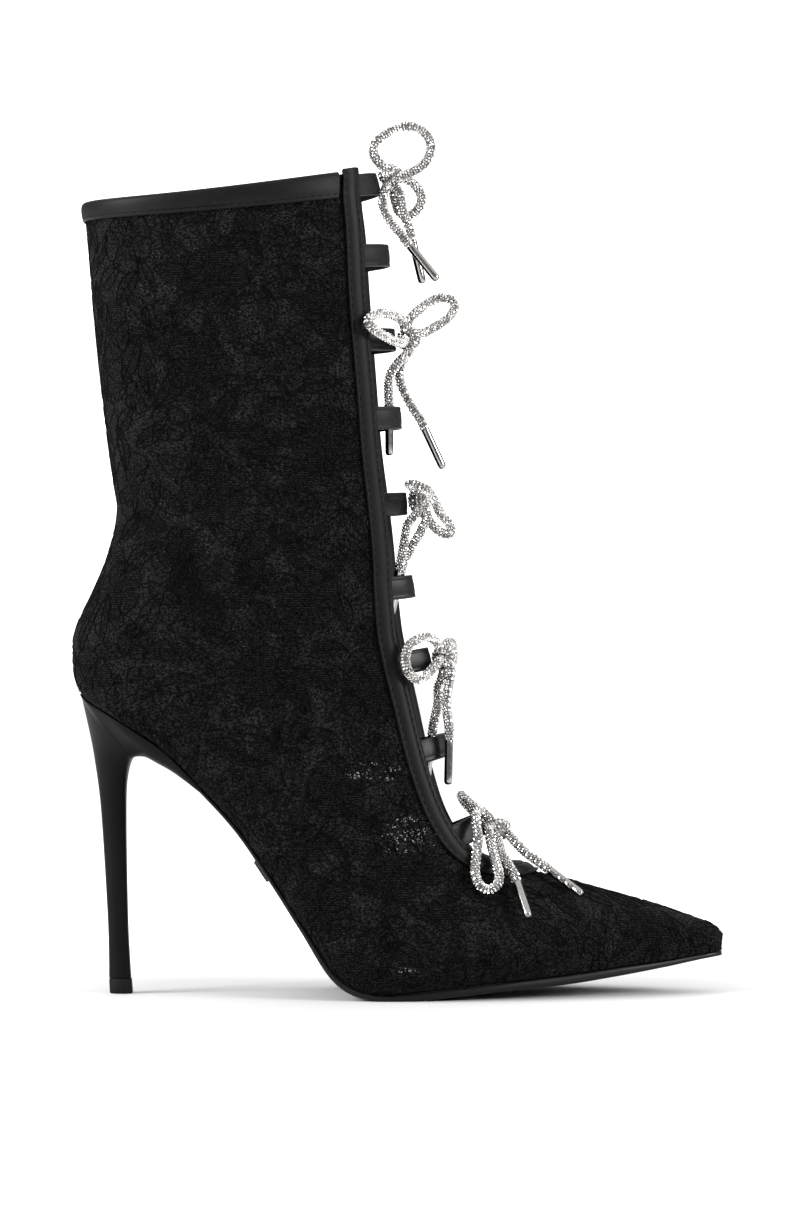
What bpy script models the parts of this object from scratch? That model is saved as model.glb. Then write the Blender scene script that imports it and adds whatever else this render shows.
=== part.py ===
"""A right ankle boot of black lace on a stiletto heel. Its front is open, held by nine satin bars, and
tied with five bows of rhinestone cord. The toe points to +X and the outer side of the foot to -Y, and
the boot stands on z = 0. Every size below is in millimetres, and MM turns it into metres."""

import math

import bmesh
import bpy
import numpy as np
from mathutils import Vector

MM = 0.001
GAP = 0.3  # air between neighbouring pieces
WALL = 1.5  # lace, its mesh and the lining together

# The last, a row for each section from the collar down the shaft, round the heel and out to the toe.
# back and front are the two ends of a section seen from the side: on the back seam or the bottom, and
# on the front line. outer and inner are its half-widths, tuck is how far the edge over the sole lies
# inside them, widest is where along the section they fall, round is the power of the front's curve
# (2 is an ellipse), bend moves the section towards the inner side, and dip lowers its two sides.
LAST_COLUMNS = (
    "back_x", "back_z", "front_x", "front_z", "outer", "inner", "tuck", "widest", "round", "bend", "dip",
)
LAST = (
    (-109.7, 275.0, -7.5, 287.0, 37.0, 37.0, 0.0, 0.47, 2.00, 0.0, 3.0),
    (-108.3, 263.5, -4.0, 270.0, 36.5, 36.5, 0.0, 0.47, 2.00, 0.0, 2.2),
    (-106.3, 239.0, -1.8, 242.5, 35.5, 35.5, 0.0, 0.47, 2.00, 0.0, 0.9),
    (-103.5, 211.0, 0.2, 216.0, 34.2, 34.2, 0.0, 0.47, 2.00, 0.0, 0.0),
    (-100.5, 186.5, 1.8, 193.5, 32.6, 32.6, 0.0, 0.46, 2.00, 0.0, 0.0),
    (-98.6, 168.5, 3.0, 176.0, 31.6, 31.6, 0.0, 0.45, 2.00, 0.0, 0.0),
    (-101.0, 153.0, 3.8, 162.0, 31.5, 31.5, 0.0, 0.44, 2.00, 0.0, 0.0),
    (-106.5, 140.5, 4.6, 151.5, 31.8, 31.8, 0.0, 0.42, 2.00, 0.0, 0.0),
    (-112.0, 129.0, 5.6, 143.0, 31.8, 31.8, 0.0, 0.41, 1.98, 0.0, 0.0),
    (-113.6, 120.0, 7.2, 135.0, 31.5, 31.5, 0.0, 0.40, 1.95, 0.0, 0.0),
    (-111.0, 106.0, 9.2, 127.0, 31.0, 31.0, 5.5, 0.38, 1.92, 0.0, 0.0),
    (-97.0, 96.5, 12.0, 115.0, 30.5, 30.5, 5.5, 0.36, 1.90, 0.0, 0.0),
    (-81.5, 86.5, 14.2, 104.0, 30.5, 30.5, 5.5, 0.34, 1.88, 0.0, 0.0),
    (-67.0, 72.1, 17.0, 92.0, 30.5, 30.5, 6.5, 0.32, 1.85, -0.5, 0.0),
    (-54.3, 57.9, 20.6, 79.0, 30.8, 30.5, 9.0, 0.30, 1.83, -1.0, 0.0),
    (-42.2, 40.2, 25.6, 66.0, 32.0, 31.0, 10.0, 0.28, 1.80, -1.2, 0.0),
    (-31.8, 24.6, 33.0, 53.5, 34.5, 33.0, 9.0, 0.27, 1.76, -1.0, 0.0),
    (-20.0, 8.0, 42.5, 45.5, 37.5, 36.0, 7.0, 0.26, 1.72, -0.5, 0.0),
    (-8.0, 2.8, 51.5, 41.7, 39.5, 38.5, 5.0, 0.25, 1.70, 0.2, 0.0),
    (8.0, 3.5, 59.8, 39.8, 39.0, 40.0, 4.0, 0.26, 1.68, 1.0, 0.0),
    (32.5, 5.8, 70.0, 36.7, 34.0, 36.5, 3.0, 0.28, 1.70, 2.4, 0.0),
    (57.0, 7.9, 81.5, 33.5, 26.0, 29.0, 2.2, 0.30, 1.74, 4.0, 0.0),
    (78.0, 10.2, 92.0, 30.4, 18.5, 20.5, 1.6, 0.32, 1.80, 5.2, 0.0),
    (93.5, 11.8, 102.3, 26.8, 12.0, 13.0, 1.2, 0.35, 1.88, 6.0, 0.0),
    (106.3, 13.6, 110.6, 23.7, 6.6, 6.8, 0.9, 0.40, 1.95, 6.4, 0.0),
    (113.8, 14.5, 114.4, 20.0, 4.4, 4.4, 0.7, 0.45, 2.00, 6.5, 0.0),
)
SEAT_ROW = 10.0  # the corner where the back seam meets the heel seat
BREAST_ROW = 12.95  # where the heel's lip ends and the outsole begins
TOE_ROW = len(LAST) - 1.0
BACK_ROUND = 2.2  # power of the curve round the back and over the sole's edge
SEAT_REACH = 26.0  # length of the round end of the heel seat
TOE_REACH = 7.0  # length of the round end of the toe

# The open front: half-widths at even steps from the collar to the bottom of the U, how much nearer the
# middle its inner edge stands, how far its top corners lean in and over what length, and the U itself.
OPENING_HALF = (20.0, 20.2, 18.2, 15.2, 15.6, 17.2)
INNER_NEARER = (0.4, 1.0, 0.65, 1.5, 1.5, 0.8)
CORNER_LEAN = (2.0, 14.0)
OPENING_ROW = 17.0  # where the U crosses the front line
U_LENGTH = 20.0
U_ROUND = 2.4
U_TURNS = (18.0, 35.0, 50.0, 64.0, 77.0, 90.0)  # places round the U, in degrees

# Bindings, folded over the edges.
BINDING = 0.8  # thickness
THROAT_BAND = 7.5  # width outside
THROAT_TURN = 3.9  # width inside
COLLAR_ROW = 0.6  # the collar band ends at this row of the last
THROAT_ABOVE = 1.7  # how far it stands up past the collar's edge
COLLAR_FROM_EDGE = 8.2  # where the collar band stops beside the throat band

# Columns of the upper's surface, as distances from the edge of the opening or from the vamp's ridge.
EDGE_COLUMNS = (0.0, 3.9, 8.2, 12.5, 18.0)
SIDE_COLUMNS = 6
SMALL_SECTION = 60.0  # shorter half-sections shrink the columns in proportion

# Bars across the opening, by the height of their middle on the front line.
STRAP_HEIGHTS = (283.2, 258.0, 228.6, 201.3, 171.3, 142.5, 117.3, 87.4, 59.4)
STRAP_WIDTH = 8.0
STRAP_THICK = 1.0
STRAP_TUCK = 3.4  # length hidden behind each side

# Bottom. Thickness of the outsole at each row of the last from SOLE_FIRST on.
SOLE_FIRST = 12
SOLE_THICK = (1.3, 1.3, 1.4, 1.5, 1.8, 2.4, 2.6, 3.2, 3.1, 3.3, 2.8, 2.0, 1.5, 1.3)
SOLE_MARGIN = 0.7  # how far the sole's edge stands out past the upper's
INSOLE_THICK = 1.9
INSOLE_MARGIN = 2.4  # how far the insole keeps inside the upper's edge
INSOLE_BACK = 3.2  # and behind it at the heel

# Heel stem from its foot upwards: back and front of each section, its half-width and its flat breast.
STEM_COLUMNS = ("back_x", "back_z", "front_x", "front_z", "half", "breast")
STEM = (
    (-101.0, 5.5, -93.4, 5.5, 3.9, 2.2),
    (-101.3, 22.0, -94.3, 22.0, 3.9, 2.2),
    (-102.6, 46.0, -94.9, 46.0, 4.3, 2.4),
    (-104.0, 66.0, -95.1, 65.0, 5.2, 3.0),
    (-105.4, 77.5, -94.9, 73.5, 7.2, 4.0),
    (-107.0, 87.5, -94.2, 78.5, 10.6, 5.6),
    (-108.9, 96.5, -93.5, 81.0, 14.4, 7.2),
    (-110.4, 103.2, -93.0, 82.0, 17.0, 8.2),
)
# Heel under its seat: distance from the seat's corner, the underside and its half-width, then the
# half-width of its side and the share of the way down where it is widest.
CUP_COLUMNS = ("along", "under_x", "under_z", "under", "side", "widest")
CUP = (
    (1.0, -92.6, 82.4, 9.4, 17.9, 0.53),
    (4.0, -91.6, 82.9, 10.4, 18.8, 0.45),
    (9.0, -90.0, 83.2, 11.6, 21.0, 0.32),
    (16.5, -87.2, 82.9, 13.2, 24.7, 0.19),
    (26.0, -83.4, 81.0, 15.4, 26.3, 0.13),
    (36.0, -78.6, 78.5, 18.4, 26.2, 0.12),
    (44.5, -73.8, 75.3, 21.0, 25.5, 0.12),
)
LIP_THICK = 1.3
SEAT_MARGIN = 0.9
TIP = ((-100.8, 0.0, -92.8, 0.0, 4.1, 2.6), (-101.0, 5.2, -93.2, 5.2, 4.1, 2.4))

# Plain plate under the waist: row of the last, length, width and thickness.
PLATE_ROW = 14.75
PLATE = (8.4, 14.0, 1.2)

# Bows of cord. Routes run from the knot, as (forward, inner, up) from its middle, chosen by hand.
CORD = 3.2
CORD_STEP = 6.4  # two diameters
KNOT = 3.8  # radius
AGLET = (15.8, 1.45)  # length and radius
BOWS = (
    {
        "strap": 1,
        "rise": 0.8,
        "outer_loop": (
            (-2.6, -5.0, 3.8), (-5.6, -8.0, 7.5), (-5.2, -9.5, 11.5), (-1.0, -10.0, 15.0),
            (4.5, -10.0, 17.3), (9.6, -9.0, 16.8), (13.2, -7.5, 14.0), (14.3, -6.0, 9.8),
            (12.6, -5.0, 5.6), (9.2, -4.0, 2.8), (5.8, -2.8, 1.4),
        ),
        "inner_loop": (
            (5.6, 4.2, 0.3), (9.5, 6.5, -2.4), (11.1, 8.0, -6.3), (9.6, 9.0, -10.0),
            (6.2, 9.2, -12.2), (3.2, 8.0, -10.9), (2.0, 6.2, -8.0), (1.2, 4.6, -4.8),
        ),
        "outer_end": (
            (-2.0, -3.8, -5.0), (-2.5, -5.0, -9.5), (-0.8, -5.5, -14.0),
            (2.1, -6.0, -17.8), (4.8, -6.2, -21.3),
        ),
        "outer_tip": (14.9, -8.0, -34.0),
        "inner_end": ((3.4, -0.3, -5.2), (4.2, 0.6, -10.0), (5.4, 1.6, -14.0), (7.0, 2.5, -17.9)),
        "inner_tip": (10.5, 4.0, -32.6),
    },
    {
        "strap": 3,
        "rise": 1.5,
        "outer_loop": (
            (-2.0, -4.4, 4.8), (-6.0, -13.0, 6.4), (-10.5, -22.0, 6.0), (-13.5, -27.0, 3.2),
            (-11.5, -25.0, 0.4), (-7.8, -18.0, -1.6), (-4.2, -11.0, -3.0), (-1.8, -6.0, -3.2),
        ),
        "inner_loop": (
            (0.4, 4.4, 5.2), (3.4, 7.0, 8.6), (7.6, 9.5, 11.9), (11.6, 11.0, 13.7), (15.1, 11.0, 13.3),
            (16.8, 10.0, 10.9), (15.1, 8.5, 7.0), (11.6, 6.5, 4.2), (8.2, 4.6, 2.2), (6.2, 3.0, 1.0),
        ),
        "outer_end": (
            (0.6, -1.8, -5.9), (-3.0, -4.6, -9.8), (-5.8, -5.0, -13.8),
            (-6.6, -4.5, -18.6), (-6.4, -3.6, -23.4),
        ),
        "outer_tip": (-6.3, -3.0, -41.0),
        "inner_end": (
            (0.8, 4.4, -5.6), (-2.1, 4.0, -10.0), (-2.8, 3.2, -15.1), (-1.1, 2.6, -19.8), (1.5, 2.4, -24.9),
            (4.6, 2.2, -29.6),
        ),
        "inner_tip": (12.3, 2.0, -46.2),
    },
    {
        "strap": 5,
        "rise": 1.7,
        "outer_loop": (
            (-2.6, -4.4, 4.4), (-3.4, -11.0, 4.4), (-1.6, -16.5, 4.4), (1.6, -17.0, 3.2), (3.6, -12.0, 1.8),
            (3.6, -5.4, 0.6),
        ),
        "inner_loop": (
            (5.2, 3.2, -0.4), (7.6, 8.0, -5.2), (10.8, 12.0, -8.9), (11.4, 13.6, -12.3), (8.2, 12.0, -12.0),
            (4.4, 9.4, -8.8), (0.7, 5.9, -3.6),
        ),
        "outer_end": (
            (-0.8, -3.6, -5.4), (-3.8, -4.4, -9.0), (-4.8, -4.2, -13.5),
            (-5.6, -3.8, -18.0), (-6.4, -3.6, -22.0),
        ),
        "outer_tip": (-9.5, -3.4, -39.0),
        "inner_end": (
            (3.0, 0.7, -6.0), (1.0, 1.6, -11.0), (-1.6, 2.2, -15.6), (-4.0, 2.6, -19.6), (-5.4, 2.8, -22.6),
        ),
        "inner_tip": (-9.6, 3.0, -39.5),
    },
    {
        "strap": 7,
        "rise": -0.15,
        "outer_loop": (
            (-2.0, -4.6, 4.6), (-5.0, -10.0, 6.6), (-8.4, -15.5, 6.0),
            (-11.6, -19.0, 3.9), (-13.0, -20.5, -0.7),
            (-12.0, -20.0, -5.4), (-9.0, -16.5, -8.0), (-5.6, -11.0, -6.6), (-2.0, -6.2, -2.6),
        ),
        "inner_loop": (
            (1.6, 5.0, 4.2), (3.0, 11.5, 4.6), (3.8, 18.0, 3.2), (4.0, 19.5, 0.4), (3.8, 17.0, -2.2),
            (3.2, 11.0, -3.0), (2.4, 5.6, -1.8),
        ),
        "outer_end": (
            (3.0, -3.0, -5.2), (1.8, -5.0, -12.5), (1.4, -7.0, -18.2), (2.0, -8.6, -22.6), (2.3, -9.4, -25.8),
        ),
        "outer_tip": (1.9, -10.5, -43.0),
        "inner_end": (
            (0.2, 2.2, -6.2), (-1.4, 2.4, -11.0), (-1.4, 1.6, -15.5), (-2.2, 0.8, -20.0), (-3.2, 0.2, -24.4),
        ),
        "inner_tip": (-5.5, 0.0, -42.0),
    },
    {
        "strap": 9,
        "rise": -2.8,
        "outer_loop": (
            (-5.2, -3.4, 4.8), (-7.0, -9.2, 2.7), (-6.2, -15.8, -4.0), (-6.9, -20.9, -10.0),
            (-7.4, -24.6, -15.1), (-6.0, -26.8, -19.5), (-2.7, -27.4, -21.3), (0.3, -26.9, -19.4),
            (0.8, -24.4, -15.7), (-0.2, -18.9, -11.7), (-1.6, -12.4, -6.5), (-2.3, -6.8, -1.5),
        ),
        "inner_loop": (
            (-4.0, 4.4, 3.4), (-7.5, 9.0, 5.8), (-10.4, 14.5, 8.2), (-11.6, 19.0, 9.1), (-10.6, 20.5, 7.0),
            (-7.4, 16.4, 3.6), (-3.6, 11.2, -0.4), (-0.8, 6.6, -2.4),
        ),
        "outer_end": (
            (0.8, -3.6, -5.4), (1.6, -8.0, -7.6), (2.8, -13.0, -10.8),
            (4.8, -17.5, -14.2), (6.2, -20.0, -16.6),
        ),
        "outer_tip": (11.1, -33.0, -31.2),
        "inner_end": (
            (4.8, -1.0, -3.6), (7.4, -2.4, -6.7), (10.6, -3.8, -9.8),
            (14.2, -5.0, -12.4), (16.6, -5.8, -14.1),
        ),
        "inner_tip": (30.8, -16.0, -24.5),
    },
)

# The middle of the boot's own box, which becomes the origin.
ORIGIN = Vector((0.4, 0.85, 0.0))

# Slots: base colour, roughness and metallic.
SLOTS = {
    "black_lace": ((0.012, 0.012, 0.013, 1.0), 0.85, 0.0),
    "black_binding": ((0.016, 0.016, 0.017, 1.0), 0.5, 0.0),
    "black_satin": ((0.018, 0.018, 0.019, 1.0), 0.45, 0.0),
    "sole_black": ((0.01, 0.01, 0.01, 1.0), 0.3, 0.0),
    "heel_cover": ((0.012, 0.012, 0.013, 1.0), 0.4, 0.0),
    "rubber_tip": ((0.015, 0.015, 0.015, 1.0), 0.8, 0.0),
    "insole_lining": ((0.03, 0.028, 0.027, 1.0), 0.8, 0.0),
    "plate_metal": ((0.05, 0.05, 0.05, 1.0), 0.35, 1.0),
    "rhinestone_cord": ((0.72, 0.71, 0.69, 1.0), 0.2, 0.0),
    "aglet_metal": ((0.78, 0.77, 0.75, 1.0), 0.15, 1.0),
}

for thing in list(bpy.data.objects):
    bpy.data.objects.remove(thing)
boot = bpy.data.collections.new("lace_boot")
bpy.context.scene.collection.children.link(boot)


def material(slot):
    if slot in bpy.data.materials:
        return bpy.data.materials[slot]
    colour, roughness, metallic = SLOTS[slot]
    made = bpy.data.materials.new(slot)
    made.use_nodes = True
    made.diffuse_color = colour
    shader = made.node_tree.nodes["Principled BSDF"]
    shader.inputs["Base Color"].default_value = colour
    shader.inputs["Roughness"].default_value = roughness
    shader.inputs["Metallic"].default_value = metallic
    return made


def add_object(name, data, slot):
    data.materials.append(material(slot))
    made = bpy.data.objects.new(name, data)
    boot.objects.link(made)
    return made


def add_mesh(name, points, faces, slot):
    """An object from points in millimetres, its doubled points joined and its faces turned outwards."""
    mesh = bpy.data.meshes.new(name)
    mesh.from_pydata([(Vector(p) - ORIGIN) * MM for p in points], [], faces)
    work = bmesh.new()
    work.from_mesh(mesh)
    bmesh.ops.remove_doubles(work, verts=work.verts, dist=0.01 * MM)
    bmesh.ops.dissolve_degenerate(work, edges=work.edges, dist=0.001 * MM)
    bmesh.ops.recalc_face_normals(work, faces=work.faces)
    work.to_mesh(mesh)
    work.free()
    return add_object(name, mesh, slot)


def add_rings(name, rings, slot):
    """One closed solid through rings of equal count, with both ends capped."""
    count = len(rings[0])
    points = [point for ring in rings for point in ring]
    faces = []
    for i in range(len(rings) - 1):
        for k in range(count):
            a = i * count + k
            b = i * count + (k + 1) % count
            faces.append((a, b, b + count, a + count))
    faces.append(tuple(range(count)))
    faces.append(tuple(range(len(points) - count, len(points))))
    return add_mesh(name, points, faces, slot)


def smooth(rows, at):
    """A smooth curve through evenly numbered rows, read at the row number given."""
    last = len(rows) - 1
    i = min(max(int(at), 0), last - 1)
    u = at - i
    p, q, r, s = (rows[min(max(i + k, 0), last)] for k in (-1, 0, 1, 2))
    return 0.5 * (2 * q + (r - p) * u + (2 * p - 5 * q + 4 * r - s) * u**2 + (3 * q - p - 3 * r + s) * u**3)


def round_end(distance, reach):
    """The share of the full width this far from a rounded end."""
    share = min(max(distance / reach, 0.0), 1.0)
    return math.sqrt(1.0 - (1.0 - share) ** 2)


LAST_ROWS = np.array(LAST)


def section(row):
    """The sizes of the last's section at a row number, which may fall between two rows."""
    sizes = dict(zip(LAST_COLUMNS, smooth(LAST_ROWS, row)))
    tip = round_end(bottom_length(row, TOE_ROW), TOE_REACH)
    seat = round_end(bottom_length(SEAT_ROW, row), SEAT_REACH) if row > SEAT_ROW else 0.0
    for side in ("outer", "inner"):
        sizes[side + "_edge"] = (sizes[side] - sizes["tuck"]) * tip * seat
        sizes[side] *= tip
    return sizes


BOTTOM_STEPS = np.linspace(SEAT_ROW, TOE_ROW, 301)
BOTTOM_LINE = np.array([smooth(LAST_ROWS, row)[:2] for row in BOTTOM_STEPS])
BOTTOM_LENGTHS = np.concatenate([[0.0], np.cumsum(np.linalg.norm(np.diff(BOTTOM_LINE, axis=0), axis=1))])
FRONT_STEPS = np.linspace(0.0, TOE_ROW, 601)
FRONT_LINE = np.array([smooth(LAST_ROWS, row)[2:4] for row in FRONT_STEPS])
FRONT_LENGTHS = np.concatenate([[0.0], np.cumsum(np.linalg.norm(np.diff(FRONT_LINE, axis=0), axis=1))])
OPENING_LENGTH = float(np.interp(OPENING_ROW, FRONT_STEPS, FRONT_LENGTHS))


def bottom_length(first, second):
    """Length along the bottom between two rows, 0 before the heel seat."""
    ends = np.interp([first, second], BOTTOM_STEPS, BOTTOM_LENGTHS)
    return float(ends[1] - ends[0])


def bottom_row(along):
    """The row at a length along the bottom from the heel seat's corner."""
    return float(np.interp(along, BOTTOM_LENGTHS, BOTTOM_STEPS))


def opening_half(along, side):
    """Half-width of the opening on one side at a length down the front line, 0 past the bottom of its U."""
    reach = OPENING_LENGTH - U_LENGTH
    at = np.clip(along / reach, 0.0, 1.0) * (len(OPENING_HALF) - 1)
    width = smooth(np.array(OPENING_HALF), at)
    if side == "inner":
        width -= smooth(np.array(INNER_NEARER), at)
    width -= CORNER_LEAN[0] * np.clip(1.0 - along / CORNER_LEAN[1], 0.0, 1.0) ** 2
    share = (along - reach) / U_LENGTH
    if share >= 1.0:
        return 0.0
    return width * (1.0 - max(share, 0.0) ** U_ROUND) ** (1.0 / U_ROUND)


def front_share(sizes, across):
    """Where along a section its front half is this far from the middle line."""
    half = sizes["outer"] if across < 0 else sizes["inner"]
    part = min(abs(across) / max(half, 1e-6), 1.0)
    reach = (1.0 - part ** sizes["round"]) ** (1.0 / sizes["round"])
    return sizes["widest"] + (1.0 - sizes["widest"]) * reach


def place(sizes, share, across):
    """A point of a section from its share of the way to the front and its distance from the middle line."""
    x = sizes["back_x"] + (sizes["front_x"] - sizes["back_x"]) * share
    z = sizes["back_z"] + (sizes["front_z"] - sizes["back_z"]) * share
    side = across / max(sizes["outer"], 1e-6)
    return np.array((x, sizes["bend"] + across, z - sizes["dip"] * side * side))


def front_point(along, across):
    """The last's surface near its front, by the length down the front line and the distance across."""
    row = float(np.interp(along, FRONT_LENGTHS, FRONT_STEPS))
    sizes = section(row)
    point = place(sizes, front_share(sizes, across), across)
    if along < 0.0:
        below = section(0.1)
        slope = point - place(below, front_share(below, across), across)
        point = point - slope / np.linalg.norm(slope) * along
    return point


def front_offset(along, across, out):
    """A point off the last's surface near its front, outwards by the distance given."""
    step = 0.4
    down = front_point(along + step, across) - front_point(along - step, across)
    over = front_point(along, across + step) - front_point(along, across - step)
    normal = np.cross(over, down)
    normal /= np.linalg.norm(normal)
    if normal[0] < 0.0:
        normal = -normal
    return front_point(along, across) + normal * out


def half_section(row, side):
    """One side of the upper's surface at a row, from the edge of the opening or the ridge to the bottom."""
    sizes = section(row)
    sign = -1.0 if side == "outer" else 1.0
    half = sizes[side]
    edge = sizes[side + "_edge"]
    widest = sizes["widest"]
    along = float(np.interp(row, FRONT_STEPS, FRONT_LENGTHS))
    start = front_share(sizes, sign * opening_half(along, side))
    points = []
    turn = math.asin(min(((start - widest) / (1.0 - widest)) ** (sizes["round"] / 2.0), 1.0))
    for angle in np.linspace(turn, 0.0, 40):
        share = widest + (1.0 - widest) * math.sin(angle) ** (2.0 / sizes["round"])
        points.append(place(sizes, share, sign * half * math.cos(angle) ** (2.0 / sizes["round"])))
    for angle in np.linspace(0.0, math.pi / 2.0, 40)[1:]:
        share = widest * (1.0 - math.sin(angle) ** (2.0 / BACK_ROUND))
        across = edge + (half - edge) * math.cos(angle) ** (2.0 / BACK_ROUND)
        points.append(place(sizes, share, sign * across))
    points = np.array(points)
    lengths = np.concatenate([[0.0], np.cumsum(np.linalg.norm(np.diff(points, axis=0), axis=1))])
    near = np.array(EDGE_COLUMNS) * min(lengths[-1] / SMALL_SECTION, 1.0)
    columns = np.concatenate([near, np.linspace(near[-1], lengths[-1], SIDE_COLUMNS + 1)[1:]])
    return np.stack([np.interp(columns, lengths, points[:, axis]) for axis in range(3)], axis=1)


def upper_rows():
    """Row numbers of the upper's sections, close together where its edges turn."""
    shaft = [0.0, COLLAR_ROW, 1.2, 2.0, 2.8, 3.6, 4.3]
    ankle = list(np.arange(5.0, SEAT_ROW + 0.1, 0.5))
    seat = [bottom_row(along) for along in (0.8, 3.5, 8.0, 14.5, 22.0)]
    reach = OPENING_LENGTH - U_LENGTH
    start = float(np.interp(reach, FRONT_LENGTHS, FRONT_STEPS))
    foot = list(np.linspace(seat[-1], start, 10)[1:])
    around = np.sin(np.radians(U_TURNS)) ** (2.0 / U_ROUND)
    throat = list(np.interp(reach + U_LENGTH * around, FRONT_LENGTHS, FRONT_STEPS))
    vamp = list(np.linspace(OPENING_ROW, TOE_ROW - 1.0, 12)[1:])
    toe = [bottom_row(BOTTOM_LENGTHS[-1] - left) for left in (4.0, 1.8, 0.5, 0.0)]
    return shaft + ankle + seat + foot + throat + vamp + toe


def make_upper():
    """The lace shell: a surface through the half-sections of both sides, thickened inwards."""
    points = []
    faces = []
    for side in ("outer", "inner"):
        start = len(points)
        rings = [half_section(row, side) for row in upper_rows()]
        count = len(rings[0])
        for ring in rings:
            points.extend(ring)
        for i in range(len(rings) - 1):
            for k in range(count - 1):
                a = start + i * count + k
                faces.append((a, a + 1, a + count + 1, a + count))
    made = add_mesh("upper", points, faces, "black_lace")
    shell = made.modifiers.new("wall", "SOLIDIFY")
    shell.thickness = WALL * MM
    shell.offset = -1.0
    shell.use_even_offset = True
    shell.use_quality_normals = True
    return made


def make_collar_binding():
    """A strip folded over the collar, from one end of the throat band round the back to the other."""
    first = EDGE_COLUMNS.index(COLLAR_FROM_EDGE)
    lines = {}
    for row in (0.0, COLLAR_ROW):
        outer = half_section(row, "outer")[first:]
        inner = half_section(row, "inner")[first:]
        lines[row] = np.concatenate([outer, inner[::-1][1:]])
    rim = lines[0.0]
    low = lines[COLLAR_ROW]
    rise = rim - low
    rise /= np.linalg.norm(rise, axis=1)[:, None]
    around = np.gradient(rim, axis=0)
    normal = np.cross(rise, around)
    normal /= np.linalg.norm(normal, axis=1)[:, None]
    middle = rim.mean(axis=0)
    if np.dot(normal[0], rim[0] - middle) < 0.0:
        normal = -normal
    inside = -WALL - GAP
    rings = []
    for i in range(len(rim)):
        top = rim[i] + rise[i] * GAP
        crown = rim[i] + rise[i] * (GAP + BINDING)
        turn = rim[i] + (low[i] - rim[i]) * 0.5
        rings.append([
            low[i] + normal[i] * GAP,
            top + normal[i] * GAP,
            top + normal[i] * inside,
            turn + normal[i] * inside,
            turn + normal[i] * (inside - BINDING),
            crown + normal[i] * (inside - BINDING),
            crown + normal[i] * (GAP + BINDING),
            low[i] + normal[i] * (GAP + BINDING),
        ])
    return add_rings("collar_binding", rings, "black_binding")


def throat_stations():
    """Places along the opening's edge on one side, as a length down the front and a turn round the U."""
    reach = OPENING_LENGTH - U_LENGTH
    rows = [row for row in upper_rows() if np.interp(row, FRONT_STEPS, FRONT_LENGTHS) < reach - 1.0]
    rows = [row for row in rows if not (5.0 < row < SEAT_ROW and row % 1.0 == 0.5)]
    straight = [(float(np.interp(row, FRONT_STEPS, FRONT_LENGTHS)), 0.0) for row in rows]
    straight.insert(0, (-THROAT_ABOVE, 0.0))
    turned = [(reach, turn) for turn in np.radians((0.0, *U_TURNS))]
    return straight + turned


def throat_point(station, side, margin, out):
    """A point beside the opening's edge: margin into the lace, and out from its surface."""
    along, turn = station
    sign = -1.0 if side == "outer" else 1.0
    across = opening_half(along, side)
    for step in range(4):
        beside = front_point(along, sign * (across + 0.5)) - front_point(along, sign * across)
        across += margin / 4.0 * 0.5 / np.linalg.norm(beside)
    along += (U_LENGTH + margin) * math.sin(turn) ** (2.0 / U_ROUND)
    across *= max(math.cos(turn), 0.0) ** (2.0 / U_ROUND)
    return front_offset(along, sign * across, out)


def make_throat_binding():
    """A strip folded over the edge of the opening, down one side, round the U and up the other."""
    inside = -WALL - 3.0 * GAP
    outside = 2.0 * GAP
    profile = (
        (THROAT_BAND, outside),
        (THROAT_TURN, outside),
        (-GAP, outside),
        (-GAP, inside),
        (THROAT_TURN, inside),
        (THROAT_TURN, inside - BINDING),
        (-GAP - BINDING, inside - BINDING),
        (-GAP - BINDING, outside + BINDING),
        (THROAT_TURN, outside + BINDING),
        (THROAT_BAND, outside + BINDING),
    )
    stations = throat_stations()
    rings = []
    for side, order in (("outer", stations), ("inner", stations[-2::-1])):
        for station in order:
            rings.append([throat_point(station, side, margin, out) for margin, out in profile])
    return add_rings("throat_binding", rings, "black_binding")


def front_length(height):
    """Length down the front line to a height."""
    return float(np.interp(-height, -FRONT_LINE[:, 1], FRONT_LENGTHS))


def make_strap(number):
    """A satin bar that bows out to the front line between its two sewn ends behind the sides."""
    middle = front_length(STRAP_HEIGHTS[number - 1])
    outer = opening_half(middle, "outer")
    inner = opening_half(middle, "inner")
    level = -(WALL + BINDING + 4.5 * GAP)
    rings = []
    for across in np.linspace(-outer - STRAP_TUCK, inner + STRAP_TUCK, 11):
        free = (outer if across < 0.0 else inner) - GAP - BINDING - 1.0
        share = min(abs(across) / free, 1.0)
        face = level * share * share * (3.0 - 2.0 * share)
        top = middle - STRAP_WIDTH / 2.0
        low = middle + STRAP_WIDTH / 2.0
        rings.append([
            front_offset(top, across, face),
            front_offset(low, across, face),
            front_offset(low, across, face - STRAP_THICK),
            front_offset(top, across, face - STRAP_THICK),
        ])
    return add_rings("strap_%d" % number, rings, "black_satin")


def bottom_frame(row):
    """A point of the bottom's middle line and the direction straight down from it."""
    steady = max(row, SEAT_ROW + 0.8)
    ahead = smooth(LAST_ROWS, min(steady + 0.2, TOE_ROW))[:2]
    behind = smooth(LAST_ROWS, steady - 0.2)[:2]
    run = (ahead - behind) / np.linalg.norm(ahead - behind)
    sizes = section(row)
    middle = np.array((sizes["back_x"], sizes["bend"], sizes["back_z"]))
    return middle, np.array((run[1], 0.0, -run[0])), sizes


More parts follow.
